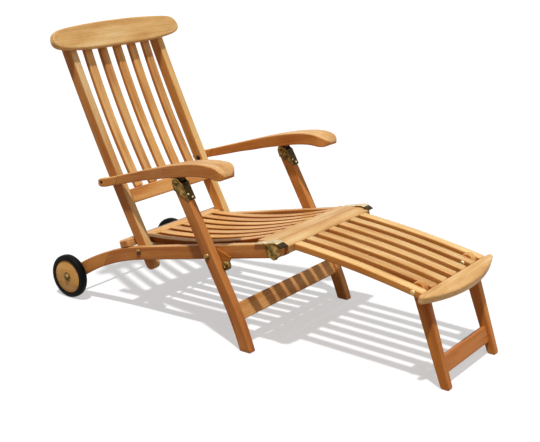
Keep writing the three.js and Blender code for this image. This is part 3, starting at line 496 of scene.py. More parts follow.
def bar(name, track, depth, width, y, material, body, slot, nodes=(), arris=ARRIS, start="square",
        end="square", level=None, middle=24, scarf=None, bleached=0, sides=1.0):
    """A bar carried along a side-view track. Its section is a rounded rectangle, square to the
    track, that shrinks over the arris at square ends and over a half circle at round ones. With a
    level, the far end is cut flat at that height. A scarf is a glued joint across the bar: its
    distance along the track and its slant. unshaded is 1 where the upper face is left free of painted
    shade, and -1 where the lower one is; the other faces get painted shade, and sides tells how dark."""
    total = measured(track)[-1]
    half = depth / 2
    s_place, s_deep, s_inset = end_stations(start, half, arris)
    e_place, e_deep, e_inset = end_stations(end, half, arris)
    if level is not None:
        total -= half * 1.2
        e_place, e_deep, e_inset = np.array([0.0]), None, np.array([0.0])
    low, high = s_place[-1], total - e_place[-1]
    inner = np.concatenate([[low + SUPPORT], np.linspace(low, high, middle + 2)[1:-1], [high - SUPPORT]])
    places = np.concatenate([s_place, inner, total - e_place[::-1]])
    inset = np.concatenate([s_inset, np.zeros(len(inner)), e_inset[::-1]])
    deep = np.full(len(places), half) - inset
    if s_deep is not None:
        deep[: len(s_place)] = s_deep
    if e_deep is not None:
        deep[-len(e_place) :] = e_deep[::-1]
    at, run = along_track(track, places)
    up, side = section(deep, width / 2 - inset, arris)
    normal = np.stack([-run[:, 1], run[:, 0]], 1)
    x = at[:, :1] + normal[:, :1] * up
    z = at[:, 1:] + normal[:, 1:] * up
    verts = np.stack([x, side + y, z], -1)
    grain = np.stack([np.broadcast_to(places[:, None], up.shape), side, up], -1)
    if level is not None:
        last, drop = verts[-1], run[-1]
        rings, marks = [], []
        for height, shrink in ((arris, 0.0), (arris * 0.3, arris * 0.3), (0.0, arris)):
            up_end, side_end = section(np.array([half - shrink]), np.array([width / 2 - shrink]), arris)
            px = at[-1, 0] + normal[-1, 0] * up_end[0]
            pz = at[-1, 1] + normal[-1, 1] * up_end[0]
            reach = (level + height - pz) / drop[1]
            rings.append(np.stack([px + drop[0] * reach, side_end[0] + y, pz + drop[1] * reach], -1))
            marks.append(np.stack([places[-1] + reach, side_end[0], up_end[0]], -1))
        verts = np.concatenate([verts, np.array(rings)])
        grain = np.concatenate([grain, np.array(marks)])
    count = verts.shape[0]
    faces = tube_faces(count, up.shape[1])
    # Painted shade: all faces get the value of sides, except the one that unshaded leaves pale
    shaded = np.full(verts.shape[:2], sides)
    if bleached:
        shaded[: len(deep)] = sides * (bleached * up <= (deep - arris * 0.3)[:, None])
    joint = None if scarf is None else (scarf[0] + grain[..., 2] * scarf[1] - grain[..., 0]) / 10
    return make_piece(name, verts, faces, material, body, nodes, grain, joint, shaded)


def cross_bar(name, centre, pitch, depth, width, half_length, material, body, nodes=(),
              arris=ARRIS, round_plan=0.0, bleached=0.0):
    """A straight bar across the chair. Its section stands at a pitch in the side view, and its ends
    are rounded over the arris, or in plan over a larger radius. Its faces get painted shade, held
    back by the share unshaded, and its ends get it in full."""
    radius = max(round_plan, arris)
    angle = np.linspace(0, math.pi / 2, 6)
    ends = radius * (1 - np.cos(angle))
    inset = radius * (1 - np.sin(angle))
    flat = half_length - radius
    inner = np.concatenate([[SUPPORT - flat], np.linspace(-flat, flat, 18)[1:-1], [flat - SUPPORT]])
    places = np.concatenate([-half_length + ends, inner, half_length - ends[::-1]])
    shrink = np.concatenate([inset, np.zeros(len(inner)), inset[::-1]])
    over = np.clip(shrink, 0, arris) if round_plan else shrink
    up, side = section(depth / 2 - over, width / 2 - shrink, arris)
    run = heading(pitch)
    x = centre[0] + run[0] * side - run[1] * up
    z = centre[1] + run[1] * side + run[0] * up
    y = np.broadcast_to(places[:, None], up.shape)
    verts = np.stack([x, y, z], -1)
    grain = np.stack([y, side, up], -1)
    faces = tube_faces(len(places), up.shape[1])
    # Painted shade on the faces, less by the share unshaded, and in full on the ends
    shaded = np.full(up.shape, 1.0 - bleached)
    shaded[[0, -1]] = 1.0
    return make_piece(name, verts, faces, material, body, nodes, grain, None, shaded)


def slats(part, count, spacing, track, depth, width, material, body, **more):
    """A row of equal slats across the chair, numbered from the near side."""
    for index in range(count):
        y = (index - (count - 1) / 2) * spacing
        bar(f"{part}_slat_board_{index + 1}", track, depth, width, y, material, body, "teak_light",
            [f"{part}_slat_{index + 1}"], arris=SLAT_ARRIS, **more)


def plate(name, outline, thickness, arris, place, material, body, slot, nodes=(), grain_axes=None,
          deep_rim=0.0, deep_faces=0.0):
    """A flat plate: the outline is carried through the thickness, and drawn in by a quarter circle
    at both faces. place turns (across, up, through) into side-view x, y, z. grain_axes picks which
    of these run along, across and through the grain, or turns the first two by an angle. deep_rim
    and deep_faces tell how much painted shade the rim and both faces get."""
    outline = np.asarray(outline, float)
    forward = unit(np.roll(outline, -1, 0) - outline)
    run = unit(forward + unit(outline - np.roll(outline, 1, 0)))
    inward = np.stack([-run[:, 1], run[:, 0]], 1)
    area = (outline[:, 0] * np.roll(outline[:, 1], -1) - np.roll(outline[:, 0], -1) * outline[:, 1]).sum()
    inward *= math.copysign(1, area)
    mitre = 1 / np.clip((run * forward).sum(1), 0.5, 1)[:, None]
    angle = np.linspace(0, math.pi / 2, 5)
    band = thickness / 2 - arris
    inset = np.concatenate([[arris * 1.3], arris * (1 - np.sin(angle)), [0.0]])
    height = np.concatenate([[thickness / 2], band + arris * np.cos(angle), [band - min(SUPPORT, band / 2)]])
    insets = np.concatenate([inset, inset[::-1]])
    heights = np.concatenate([-height, height[::-1]])
    rings = outline[None] + inward[None] * mitre[None] * insets[:, None, None]
    through = np.broadcast_to(heights[:, None], rings.shape[:2])
    flat = np.concatenate([rings, through[..., None]], -1).reshape(-1, 3)
    verts = place(flat)
    if isinstance(grain_axes, float):
        run = heading(grain_axes)
        grain = np.stack([flat[:, :2] @ run, flat[:, :2] @ [-run[1], run[0]], flat[:, 2]], 1)
    else:
        grain = flat if grain_axes is None else flat[:, grain_axes]
    faces = tube_faces(len(insets), len(outline))
    # Painted shade on the rim and on both faces
    shaded = np.zeros(rings.shape[:2]) + deep_rim
    shaded[[0, 1, -2, -1]] = deep_faces
    return make_piece(name, verts, faces, material, body, nodes, grain, None, shaded)


# How a plate's outline lies in the wood when the grain runs across the chair
GRAIN_ACROSS = [2, 0, 1]


def side_plate(name, outline, thickness, y, arris, *rest, **more):
    """A plate that stands in the side view, its middle at y."""
    def stand(flat):
        """Along the chair, across it, and up."""
        return np.stack([flat[:, 0], flat[:, 2] + y, flat[:, 1]], 1)

    return plate(name, outline, thickness, arris, stand, *rest, **more)


def across(rows, side, start=0.0):
    """Rows of a turned piece whose places are measured outwards from a start, put on one side."""
    rows = np.array([tuple(row) for row in rows], float)
    return np.stack([rows[:, 0], side * (rows[:, 1] + start)], 1)


def both_ends(rows):
    """Rows of a turned piece from its near end, and the same rows mirrored for its far end."""
    rows = np.array([tuple(row) for row in rows], float)
    return np.concatenate([rows, rows[::-1] * [1, -1]])


def turned(name, rows, x, z, material, body, slot, nodes=(), steps=64, grain=False):
    """A body of revolution about a line across the chair, from rows of radius and place across."""
    rows = np.asarray(rows, float)
    angle = np.linspace(0, 2 * math.pi, steps, endpoint=False)
    radius = rows[:, :1]
    px = x + radius * np.cos(angle)
    pz = z + radius * np.sin(angle)
    py = np.broadcast_to(rows[:, 1:], px.shape)
    verts = np.stack([px, py, pz], -1).reshape(-1, 3)
    closed = np.allclose(rows[0], rows[-1])
    if closed:
        count = len(rows) - 1
        verts = verts[: count * steps]
        ring = np.arange(count)[:, None] * steps
        after = ((np.arange(count) + 1) % count)[:, None] * steps
        step = np.arange(steps)[None]
        nxt = (step + 1) % steps
        faces = np.stack([ring + step, ring + nxt, after + nxt, after + step], -1).reshape(-1, 4).tolist()
    else:
        faces = tube_faces(len(rows), steps)
    marks = verts[:, [0, 2, 1]] if grain else None
    return make_piece(name, verts, faces, material, body, nodes, marks)


def dome(radius, rise, y, outward, steps=12):
    """Rows of a low dome from its rim to just off its middle."""
    angle = np.linspace(0, math.pi / 2 * 0.97, steps)
    return np.stack([radius * np.cos(angle), y + outward * rise * np.sin(angle)], 1)


def screw_head(name, at, pitch, radius, rise, y, material, body, steps=24):
    """A low domed screw head on a face whose normal has the given pitch: rings of a quarter ellipse,
    closed behind the face."""
    angle = np.linspace(0, 2 * math.pi, steps, endpoint=False)
    lift = np.concatenate([[-0.3], np.linspace(0, 0.97, 5) * math.pi / 2])
    radii = radius * np.cos(np.maximum(lift, 0))[:, None]
    heights = np.where(lift < 0, -0.8, rise * np.sin(lift))[:, None]
    out, up = heading(pitch), heading(pitch + 90)
    x = at[0] + heights * out[0] + radii * np.cos(angle) * up[0]
    z = at[1] + heights * out[1] + radii * np.cos(angle) * up[1]
    verts = np.stack([x, y + radii * np.sin(angle), z], -1)
    return make_piece(name, verts, tube_faces(len(lift), steps), material, body, [])


SIDES = (("near", -1), ("far", 1))


def on_both_sides(*makers):
    """Makes some sub-parts on the near side, and then on the far side."""
    for label, side in SIDES:
        for maker in makers:
            maker(label, side)


# Side rails and rear crossbar

RAIL_SCARF = (205.0, 1.3)
RAIL_POINTS, LEG_POINTS = 300, 200
REAR_SETBACK = 54.0
REAR_DEPTH, REAR_WIDTH = 25.0, 42.0
REAR_CORNER = 9.0

rail_track = lengthened(np.concatenate([rail_bend, HINGE[None]]), RAIL_DEPTH / 2, RAIL_DEPTH / 2)
rail_track = resampled(rail_track, RAIL_POINTS)
for label, side in SIDES:
    bar(f"rail_{label}", rail_track, RAIL_DEPTH, RAIL_WIDTH, side * RAIL_Y, RAIL_TEAK, "chair_frame",
        "teak_mid", [f"side_rail_{label}"], start="round", end="round", middle=60, scarf=RAIL_SCARF,
        bleached=1)

rear_x = BACK_PIVOT[0] - REAR_SETBACK
rear_pitch = math.degrees(math.asin(math.sin(math.radians(RAIL_START)) - rear_x / RAIL_BEND))
rear_drop = math.cos(math.radians(rear_pitch)) - math.cos(math.radians(RAIL_START))
rear_at = np.array([rear_x, WHEEL_RADIUS + RAIL_BEND * rear_drop])
cross_bar("rear_cross_board", off(rear_at, rear_pitch, 0, (RAIL_DEPTH + REAR_DEPTH) / 2), rear_pitch,
          REAR_DEPTH, REAR_WIDTH, RAIL_OUTER, RAIL_TEAK, "chair_frame", ["rear_crossbar"],
          round_plan=REAR_CORNER, bleached=0.8)

# Seat: two rails with dished slats between them

SEAT_DEPTH, SEAT_WIDTH, SEAT_PITCH = 21.0, 33.5, 53.0
SEAT_DIP = 17.0
# The seat's ends: along and above the rear crossbar's pitch, and from the hinge
SEAT_REAR, SEAT_FRONT = (46.75, 29.5), (-74.9, 2.8)
BACK_RAIL_HALF = 184.4
BACK_RAIL_LIP = 4.0
BACK_RAIL_ARRIS, BACK_RAIL_CORNER = 1.6, 3.0
FRONT_RAIL_PITCH = 6.2
FRONT_RAIL_DEPTH = 19.7
FRONT_RAIL_SETBACK = 13.4
FRONT_RAIL_SPACE, CROSSBAR_SPACE = 0.9, 1.5
HINGE_CORNER, HINGE_ARRIS = 2.6, 1.4
# Painted shade value for faces in narrow gaps, darker than on the other shaded faces
GAP_SHADE = 2.0

seat_track = bowed(off(rear_at, rear_pitch, *SEAT_REAR), HINGE + SEAT_FRONT, -SEAT_DIP)
seat_start_top, seat_start_low = square_to(seat_track, 0, SEAT_DEPTH / 2)
seat_end_top, seat_end_low = square_to(seat_track, -1, SEAT_DEPTH / 2)
back_rail_at = REAR_WIDTH / 2 + JOINT
back_rail = [
    off(rear_at, rear_pitch, back_rail_at, RAIL_DEPTH / 2), seat_start_low + [-JOINT, -BACK_RAIL_LIP],
    seat_start_top + [-JOINT, 0.0], off(rear_at, rear_pitch, back_rail_at, RAIL_DEPTH / 2 + REAR_DEPTH),
]
# The seat's back board gets painted shade on its faces
side_plate("seat_back_board", rounded(back_rail, BACK_RAIL_CORNER), 2 * BACK_RAIL_HALF, 0.0,
           BACK_RAIL_ARRIS, SLAT_TEAK, "chair_frame", "teak_light", ["seat_rear_rail"],
           grain_axes=GRAIN_ACROSS, deep_faces=1.0)

# The middle of the joint between the seat and the footrest, and the front rail's own edge
joint_x = HINGE[0] - FRONT_RAIL_SETBACK
front_edge = joint_x - FRONT_RAIL_SPACE
front_rise = math.tan(math.radians(FRONT_RAIL_PITCH))
front_start = seat_end_top + [JOINT, 0.0]
front_low = front_start + (seat_end_low - seat_end_top) * FRONT_RAIL_DEPTH / SEAT_DEPTH
front_rail = [
    front_low, [front_edge, front_low[1] + front_rise * (front_edge - front_low[0])],
    [front_edge, front_start[1] + front_rise * (front_edge - front_start[0])], front_start,
]
front_outline = rounded(front_rail, HINGE_CORNER)
# The front board's rim in the joint to the footrest gets the gaps' darker painted shade, and its faces
# painted shade
side_plate("seat_front_board", front_outline, 2 * (RAIL_INNER - JOINT), 0.0, HINGE_ARRIS, FACE_TEAK,
           "chair_frame", "teak_mid", ["seat_front_rail"], grain_axes=GRAIN_ACROSS, deep_faces=1.0,
           deep_rim=GAP_SHADE * (front_outline[:, 0] > front_edge - 0.5))
# The seat slats' sides get the gaps' darker painted shade
slats("seat", 7, SEAT_PITCH, seat_track, SEAT_DEPTH, SEAT_WIDTH, SLAT_TEAK, "chair_frame", bleached=1,
      sides=GAP_SHADE)

# Leg stops, leg bolts and front brackets. A turned piece has rows of radius and place across.

STOP_WEDGE = [(-10, 6), (-10, 21), (29, 58), (59, 20), (59, 6), (20, -8)]
WEDGE_WIDTH, WEDGE_CORNER, WEDGE_ARRIS = 6.5, 2.5, 1.2
STOP_DROP, STOP_RADIUS = 45.5, 14
STOP_DISC = [
    (0.1, 6.3), (STOP_RADIUS, 6.3), (STOP_RADIUS, 14.5), (13.3, 16.2), (11.5, 17), (6, 17), (5.4, 16.2),
    (0.1, 16.2),
]
BOLT_SHANK, BOLT_NUT, BOLT_HEAD, BOLT_CROWN = 5, 8, 9.5, 4.6
NUT_WIDTH = 7
STRAP_PLACES = [(-66, 0), (-30, 0.6), (3, 1.4), (11, 0.4), (18, -2.8)]
LIP_PLACES = [(16, -3.4), (22, -6.8), (31, -14.6)]
STRAP_DEPTH, STRAP_WIDTH, STRAP_Y, STRAP_LIFT = 3.2, 30.1, 229.05, 2.0
CHEEK_PLACES = [
    (-30.1, 22), (4.9, 22), (18.5, 2.5), (17.5, -12.7), (3.5, -24.7), (-8.5, -26.8), (-21.9, -16.4),
    (-28.7, 6.1),
]
CHEEK_WIDTH, CHEEK_Y = 2.6, 240.6
SHEET_ARRIS = 0.8
STRAP_ARRIS = 0.9


def leg_stop(label, side):
    """A wooden wedge on the rail with a brass disc on it, which the leg's front comes to rest on."""
    wedge = rounded([down(LEG_PIVOT, LINK_LEAN, drop, ahead) for drop, ahead in STOP_WEDGE], WEDGE_CORNER)
    side_plate(f"stop_wedge_{label}", wedge, WEDGE_WIDTH, side * (RAIL_OUTER + WEDGE_WIDTH / 2),
               WEDGE_ARRIS, DEEP_TEAK, "chair_frame", "teak_deep", [f"leg_stop_{label}"])
    stop_at = down(LEG_TOP, LEG_LEAN, LINK + STOP_DROP, LEG_DEPTH / 2 + JOINT + STOP_RADIUS)
    turned(f"stop_disc_{label}", across(STOP_DISC, side, RAIL_OUTER), *stop_at, BRASS, "chair_frame", "brass")


def leg_bolt(label, side):
    """A bolt with a nut inside the rail, a washer between rail and leg, and a domed head outside."""
    nut = RAIL_INNER - JOINT
    rows = [
        (0.1, nut - NUT_WIDTH), (BOLT_NUT, nut - NUT_WIDTH), (BOLT_NUT, nut), (BOLT_SHANK, nut),
        (BOLT_SHANK, RAIL_OUTER + JOINT), (BOLT_HEAD, RAIL_OUTER + JOINT), (BOLT_HEAD, LEG_INNER - JOINT),
        (BOLT_SHANK, LEG_INNER - JOINT), (BOLT_SHANK, LEG_OUTER + 0.2), (BOLT_HEAD, LEG_OUTER + 0.2),
        *dome(BOLT_HEAD, BOLT_CROWN, LEG_OUTER + 0.8, 1),
    ]
    turned(f"leg_bolt_brass_{label}", across(rows, side), *LEG_PIVOT, BRASS, "chair_frame", "brass",
           [f"leg_bolt_{label}"], steps=40)


def front_bracket(label, side):
    """A brass strap along the rail's top, its lip turned down in front, and a cheek on the rail's side."""
    # The strap is the paler brass, a painted highlight, and its lip the darker brass, painted shade
    for part, places, finish in (("strap", STRAP_PLACES, HIGHLIGHT_BRASS), ("lip", LIP_PLACES, SHADE_BRASS)):
        track = eased([off(HINGE, RAIL_PITCH, a, RAIL_DEPTH / 2 + STRAP_LIFT + r) for a, r in places], 60)
        bar(f"bracket_{part}_{label}", track, STRAP_DEPTH, STRAP_WIDTH, side * STRAP_Y, finish,
            "chair_frame", "brass", [f"front_bracket_{label}"] if part == "strap" else [], arris=STRAP_ARRIS,
            middle=20)
    cheek = [off(HINGE, RAIL_PITCH, along, rise) for along, rise in CHEEK_PLACES]
    side_plate(f"bracket_cheek_{label}", cheek, CHEEK_WIDTH, side * CHEEK_Y, SHEET_ARRIS, BRASS,
               "chair_frame", "brass")


on_both_sides(leg_stop, leg_bolt, front_bracket)

# Axle and back rod, which reach across the chair and have a domed cap at each end

AXLE_RADIUS, AXLE_WASHER, AXLE_CAP, AXLE_CROWN = 6, 15.5, 10.5, 8
ROD_RADIUS, ROD_CAP, ROD_CROWN = 5, 9.5, 4.8

washer = -WHEEL_OUTER - JOINT
axle_end = [(0.1, washer - 9.5), *dome(AXLE_CAP, AXLE_CROWN, washer - 1.3, -1)[::-1]]
axle_end += [(AXLE_WASHER - 0.5, washer - 1.3), (AXLE_WASHER, washer - 0.7), (AXLE_WASHER, washer)]
turned("axle_brass", both_ends(axle_end + [(AXLE_RADIUS, washer)]), *AXLE, BRASS, "chair_frame", "brass",
       ["wheel_axle"], steps=48)
head = -RAIL_OUTER - JOINT
rod_end = [*dome(ROD_CAP, ROD_CROWN, head - 0.6, -1)[::-1], (ROD_CAP, head), (ROD_RADIUS, head)]
turned("back_rod_brass", both_ends(rod_end), *BACK_PIVOT, BRASS, "chair_frame", "brass", ["back_pivot_rod"],
       steps=40)

# Wheels: the tyre's rows are places from its middle, and the disc's from the middle of the chair

TYRE_ROWS = [
    (56, -13), (64, -13), (68.5, -11.8), (71.2, -8.6), (72, -4.5), (72, 4.5), (71.2, 8.6), (68.5, 11.8),
    (64, 13), (56, 13), (56, -13),
]
DISC_ROWS = [
    (6.4, 239.4), (17, 239.4), (17, 244), (53.5, 244), (55, 245), (55.7, 247), (55.7, 263), (55, 265),
    (53.5, WHEEL_OUTER), (6.4, WHEEL_OUTER), (6.4, 239.4),
]
for label, side in SIDES:
    tread = [(radius, place + side * WHEEL_Y) for radius, place in TYRE_ROWS]
    turned(f"tyre_rubber_{label}", tread, *AXLE, RUBBER, f"wheel_{label}", "rubber", [f"tyre_{label}"],
           steps=96)
    turned(f"wheel_board_{label}", across(DISC_ROWS, side), *AXLE, WHEEL_TEAK, f"wheel_{label}", "teak_wheel",
           [f"wheel_disc_{label}"], steps=96, grain=True)

# Backrest: its places are up the back and forward of its middle line

UPRIGHT_DEPTH = 38.0
UPRIGHT_LOW, UPRIGHT_TOP, UPRIGHT_TAIL, UPRIGHT_BOW = -48.0, 730.0, 18.0, 10.0
UPRIGHT_INNER = UPRIGHT_Y - UPRIGHT_WIDTH / 2 - JOINT
PIN_ROWS = [(8, UPRIGHT_INNER), (5, UPRIGHT_INNER), (5, 235), (0.1, 235)]
BACK_SLAT_DEPTH, BACK_SLAT_WIDTH, BACK_SLAT_PITCH, BACK_SLAT_BOW = 14.0, 33.5, 66.0, 14.0
BACK_SLAT_LOW, BACK_SLAT_TOP = (196.1, -2.0), (728.0, 12.0)
LOW_RAIL_AT, LOW_RAIL_DEPTH, LOW_RAIL_WIDTH = (172.5, 3.0), 45.0, 20.0
HEAD_DEPTH, HEAD_ARRIS = 22.0, 5.0
HEAD_EDGE = [
    (0, 737.5), (70, 737), (134, 735), (200, 731), (240, 727), (262, 722), (276, 712), (283, 698),
    (283.5, 686), (277, 675), (264, 668), (237, 662.5), (195, 657.5), (149, 654.2), (80, 652.4), (0, 652),
]

upright_track = bowed(in_back(UPRIGHT_LOW, 0.0), in_back(UPRIGHT_TOP, 0.0), UPRIGHT_BOW)
upright_track = lengthened(upright_track, UPRIGHT_TAIL, 0.0)
for label, side in SIDES:
    bar(f"upright_board_{label}", upright_track, UPRIGHT_DEPTH, UPRIGHT_WIDTH, side * UPRIGHT_Y, FACE_TEAK,
        "back", "teak_mid", [f"back_upright_{label}"], start="round", middle=40, bleached=-1)
    # The pin is the darker brass, painted shade
    pin = [*dome(8, 5, UPRIGHT_INNER, -1)[::-1], *PIN_ROWS]
    turned(f"recline_pin_brass_{label}", across(pin, side), *ARM_PIVOT, SHADE_BRASS, f"recline_pin_{label}",
           "brass", [f"arm_pin_{label}"], steps=32)
back_slat_track = bowed(in_back(*BACK_SLAT_LOW), in_back(*BACK_SLAT_TOP), BACK_SLAT_BOW)
slats("back", 5, BACK_SLAT_PITCH, back_slat_track, BACK_SLAT_DEPTH, BACK_SLAT_WIDTH, SLAT_TEAK, "back",
      middle=36, bleached=-1)
cross_bar("back_low_board", in_back(*LOW_RAIL_AT), BACK_LEAN, LOW_RAIL_DEPTH, LOW_RAIL_WIDTH, UPRIGHT_INNER,
          SLAT_TEAK, "back", ["back_lower_rail"], bleached=0.6)
right_half = eased(HEAD_EDGE, 70)
head_outline = np.concatenate([right_half, (right_half * [-1, 1])[::-1][1:-1]])


def head_place(flat):
    """Across the back, up it, and forward through the board."""
    up, forward = in_back(1.0, 0.0) - BACK_PIVOT, in_back(0.0, 1.0) - BACK_PIVOT
    middle = UPRIGHT_DEPTH / 2 + JOINT + HEAD_DEPTH / 2
    at = BACK_PIVOT + flat[:, 1:2] * up + (flat[:, 2:3] + middle) * forward
    return np.stack([at[:, 0], flat[:, 0], at[:, 1]], 1)


plate("head_board", head_outline, HEAD_DEPTH, HEAD_ARRIS, head_place, FACE_TEAK, "back", "teak_mid",
      ["headboard"])

# Main legs: straight from the cap down, then bent forward to the floor

LEG_START, LEG_STRAIGHT, LEG_BEND, LEG_FOOT_LEAN = 15.0, 363.5, 955, 18.5
STRETCHER_TOP, STRETCHER_DEPTH, STRETCHER_WIDTH, STRETCHER_HALF = 390, 51.0, 18.0, 246.9
CAP_SHEET, CAP_RADIUS, CAP_LENGTH = 2.5, 15.5, 62
CAP_FRONT = LEG_DEPTH / 2 + JOINT + CAP_SHEET
CAP_SCREWS = [(43, -7), (54, 6)]
SCREW_RADIUS, SCREW_CROWN = 3.6, 1.6

leg_straight = np.stack([down(LEG_TOP, LEG_LEAN, drop) for drop in (LEG_START, LEG_STRAIGHT)])
leg_lean = np.radians(np.linspace(LEG_LEAN, LEG_FOOT_LEAN, 60))
leg_arc = np.stack([np.cos(leg_lean) - math.cos(leg_lean[0]), np.sin(leg_lean) - math.sin(leg_lean[0])], 1)
leg_track = resampled(np.concatenate([leg_straight[:1], leg_straight[1] + LEG_BEND * leg_arc]), LEG_POINTS)
for label, side in SIDES:
    bar(f"leg_board_{label}", leg_track, LEG_DEPTH, LEG_WIDTH, side * LEG_Y, RAIL_TEAK, "main_legs",
        "teak_mid", [f"main_leg_{label}"], level=0.0, middle=40)
stretcher_drop = STRETCHER_TOP + STRETCHER_DEPTH / 2 - LEG_STRAIGHT
stretcher_turn = math.degrees(stretcher_drop / LEG_BEND)
stretcher_at = down(leg_straight[1], LEG_LEAN - stretcher_turn / 2, stretcher_drop)
cross_bar("leg_cross_board", stretcher_at, LEG_LEAN - stretcher_turn, STRETCHER_DEPTH, STRETCHER_WIDTH,
          STRETCHER_HALF, RAIL_TEAK, "main_legs", ["leg_stretcher"], bleached=0.5)


def leg_cap(label, side):
    """Two brass cheeks with round tops, a plate that joins them in front, and two screws in it."""
    place = partial(down, LEG_TOP, LEG_LEAN)
    turns = np.linspace(0.15, math.pi - 0.15, 14)
    cheek = [place(16, -18), place(0, -CAP_RADIUS)]
    cheek += [place(-CAP_RADIUS * math.sin(a), -CAP_RADIUS * math.cos(a)) for a in turns]
    cheek += [place(0, CAP_RADIUS), place(8, CAP_FRONT), place(CAP_LENGTH, CAP_FRONT)]
    reach = JOINT + CAP_SHEET / 2
    for part, y in (("outer", LEG_OUTER + reach), ("inner", LEG_INNER - reach)):
        side_plate(f"cap_{part}_{label}", cheek, CAP_SHEET, side * y, SHEET_ARRIS, BRASS, "main_legs",
                   "brass", [f"leg_cap_{label}"] if part == "outer" else [])
    # The front plate is the darker brass, painted shade
    front = np.array([place(6, LEG_DEPTH / 2 + reach), place(CAP_LENGTH, LEG_DEPTH / 2 + reach)])
    bar(f"cap_front_{label}", front, CAP_SHEET, LEG_WIDTH + 2 * (JOINT + CAP_SHEET), side * LEG_Y,
        SHADE_BRASS, "main_legs", "brass", arris=STRAP_ARRIS, middle=4)
    # The screws are the paler brass, a painted highlight
    for row, (drop, shift) in enumerate(CAP_SCREWS):
        screw_head(f"cap_screw_{row + 1}_{label}", place(drop, CAP_FRONT - 0.2), LEG_LEAN, SCREW_RADIUS,
                   SCREW_CROWN, side * LEG_Y + shift, HIGHLIGHT_BRASS, "main_legs")


on_both_sides(leg_cap)

# Arms

ARM_REAR, ARM_FRONT = 137.8, 688.0
ARM_TOP = [
    (137.8, 411.5), (138.6, 416), (140.8, 419), (144.9, 421), (162.1, 425), (218, 441),
    (282, 461), (350, 482), (398.8, 497), (452.6, 513), (500, 525.5), (540, 534.5),
    (586, 542.5), (620, 545.3), (645, 544.5), (664, 540.5), (677, 534), (685, 526.5),
    (688, 519.5),
]
ARM_LOW = [
    (137.8, 407.5), (138.7, 402.5), (141.8, 398.5), (147, 396.3), (153, 396), (170.3, 399),
    (203.8, 409), (240.3, 419), (297.2, 435), (350, 450), (398.8, 462), (450.5, 476),
    (514, 490.5), (573, 503), (623, 509), (645, 509), (668, 506.8), (680, 508),
    (686, 512), (688, 517.5),
]
ARM_TAIL_OUTER = 240.0
ARM_OUTER = [
    (137.8, 236), (139, 238.8), (143, ARM_TAIL_OUTER), (149, ARM_TAIL_OUTER), (158, ARM_TAIL_OUTER),
    (226.1, ARM_TAIL_OUTER), (327.7, 248), (408.9, 262), (469.9, 274), (530, 283), (590, 292),
    (640, 297), (664, 297.2), (678, 296), (685, 291), (688, 283),
]
ARM_INNER = [
    (137.8, 219), (139, 216.2), (143, 215), (400, 215), (650, 215), (662, 216.5),
    (675, 224), (684, 236), (688, 253),
]
ARM_ARRIS = 3.4
ARM_GRAIN_SLOPE = 0.28
ARM_SCARF, SCARF_HEIGHT, SCARF_SLANT = 224.0, 436.0, 0.42
SPARE_HOLE = ARM_PIVOT + [-37.0, -0.3]
SPARE_ROWS = [(0.1, 0.15), (3.9, 0.15), (4.4, 0.35), (5.0, 0.1), (5.0, -4.0), (0.1, -4.0)]
LUG_RADIUS, LUG_WIDTH = 11, 24.0
LUG_NECK = [
    (-LUG_RADIUS, 0), (LUG_RADIUS, 0), (LUG_RADIUS, 18.6), (23, 20.0), (23, 21.6), (-23, 11.4), (-23, 10.4),
    (-LUG_RADIUS, 13),
]
LUG_PIN_RADIUS, LUG_PIN_START, LUG_PIN_END = 4, 244.2, 277.6


def arm_board(label, side):
    """The arm: each section joins its upper and lower curve, as wide as its plan is there. A glued
    joint slants across it."""
    top, low = eased(ARM_TOP, 500), eased(ARM_LOW, 500)
    outer_curve, inner_curve = eased(ARM_OUTER, 400), np.array(ARM_INNER, float)
    # Sections lie closer together towards both ends, where the curves turn
    steps = (1 - np.cos(np.linspace(0, math.pi, 110))) / 2
    steps = 0.6 * steps + 0.4 * np.linspace(0, 1, 110)
    x = ARM_REAR + (ARM_FRONT - ARM_REAR) * steps
    upper, lower, outer, inner = (np.interp(x, *curve.T) for curve in (top, low, outer_curve, inner_curve))
    half_up = np.maximum((upper - lower) / 2, 0.8)
    up, across_arm = section(half_up, (outer - inner) / 2, ARM_ARRIS)
    z = ((upper + lower) / 2)[:, None] + up
    y = side * (((outer + inner) / 2)[:, None] + across_arm)
    px = np.broadcast_to(x[:, None], up.shape)
    verts = np.stack([px, y, z], -1)
    grain = np.stack([px, y, z - ARM_GRAIN_SLOPE * px], -1)
    joint = (ARM_SCARF + SCARF_SLANT * (z - SCARF_HEIGHT) - px) / 10
    # Painted shade on every face of the arm but its top
    shaded = up <= (half_up - 1.0)[:, None]
    return make_piece(f"arm_board_{label}", verts, tube_faces(len(x), up.shape[1]), RAIL_TEAK,
                      f"arm_{label}_side", [f"arm_{label}"], grain, joint, shaded)


def spare_hole(label, side):
    """The bore of the recline pin's other hole, a shallow cup coloured near black as painted shade for the
    deep hole, with a small chamfer round it.
    """
    turned(f"spare_hole_{label}", across(SPARE_ROWS, side, ARM_TAIL_OUTER), *SPARE_HOLE, BORE_SHADE,
           f"arm_{label}_side", "teak_deep", steps=32, grain=True)


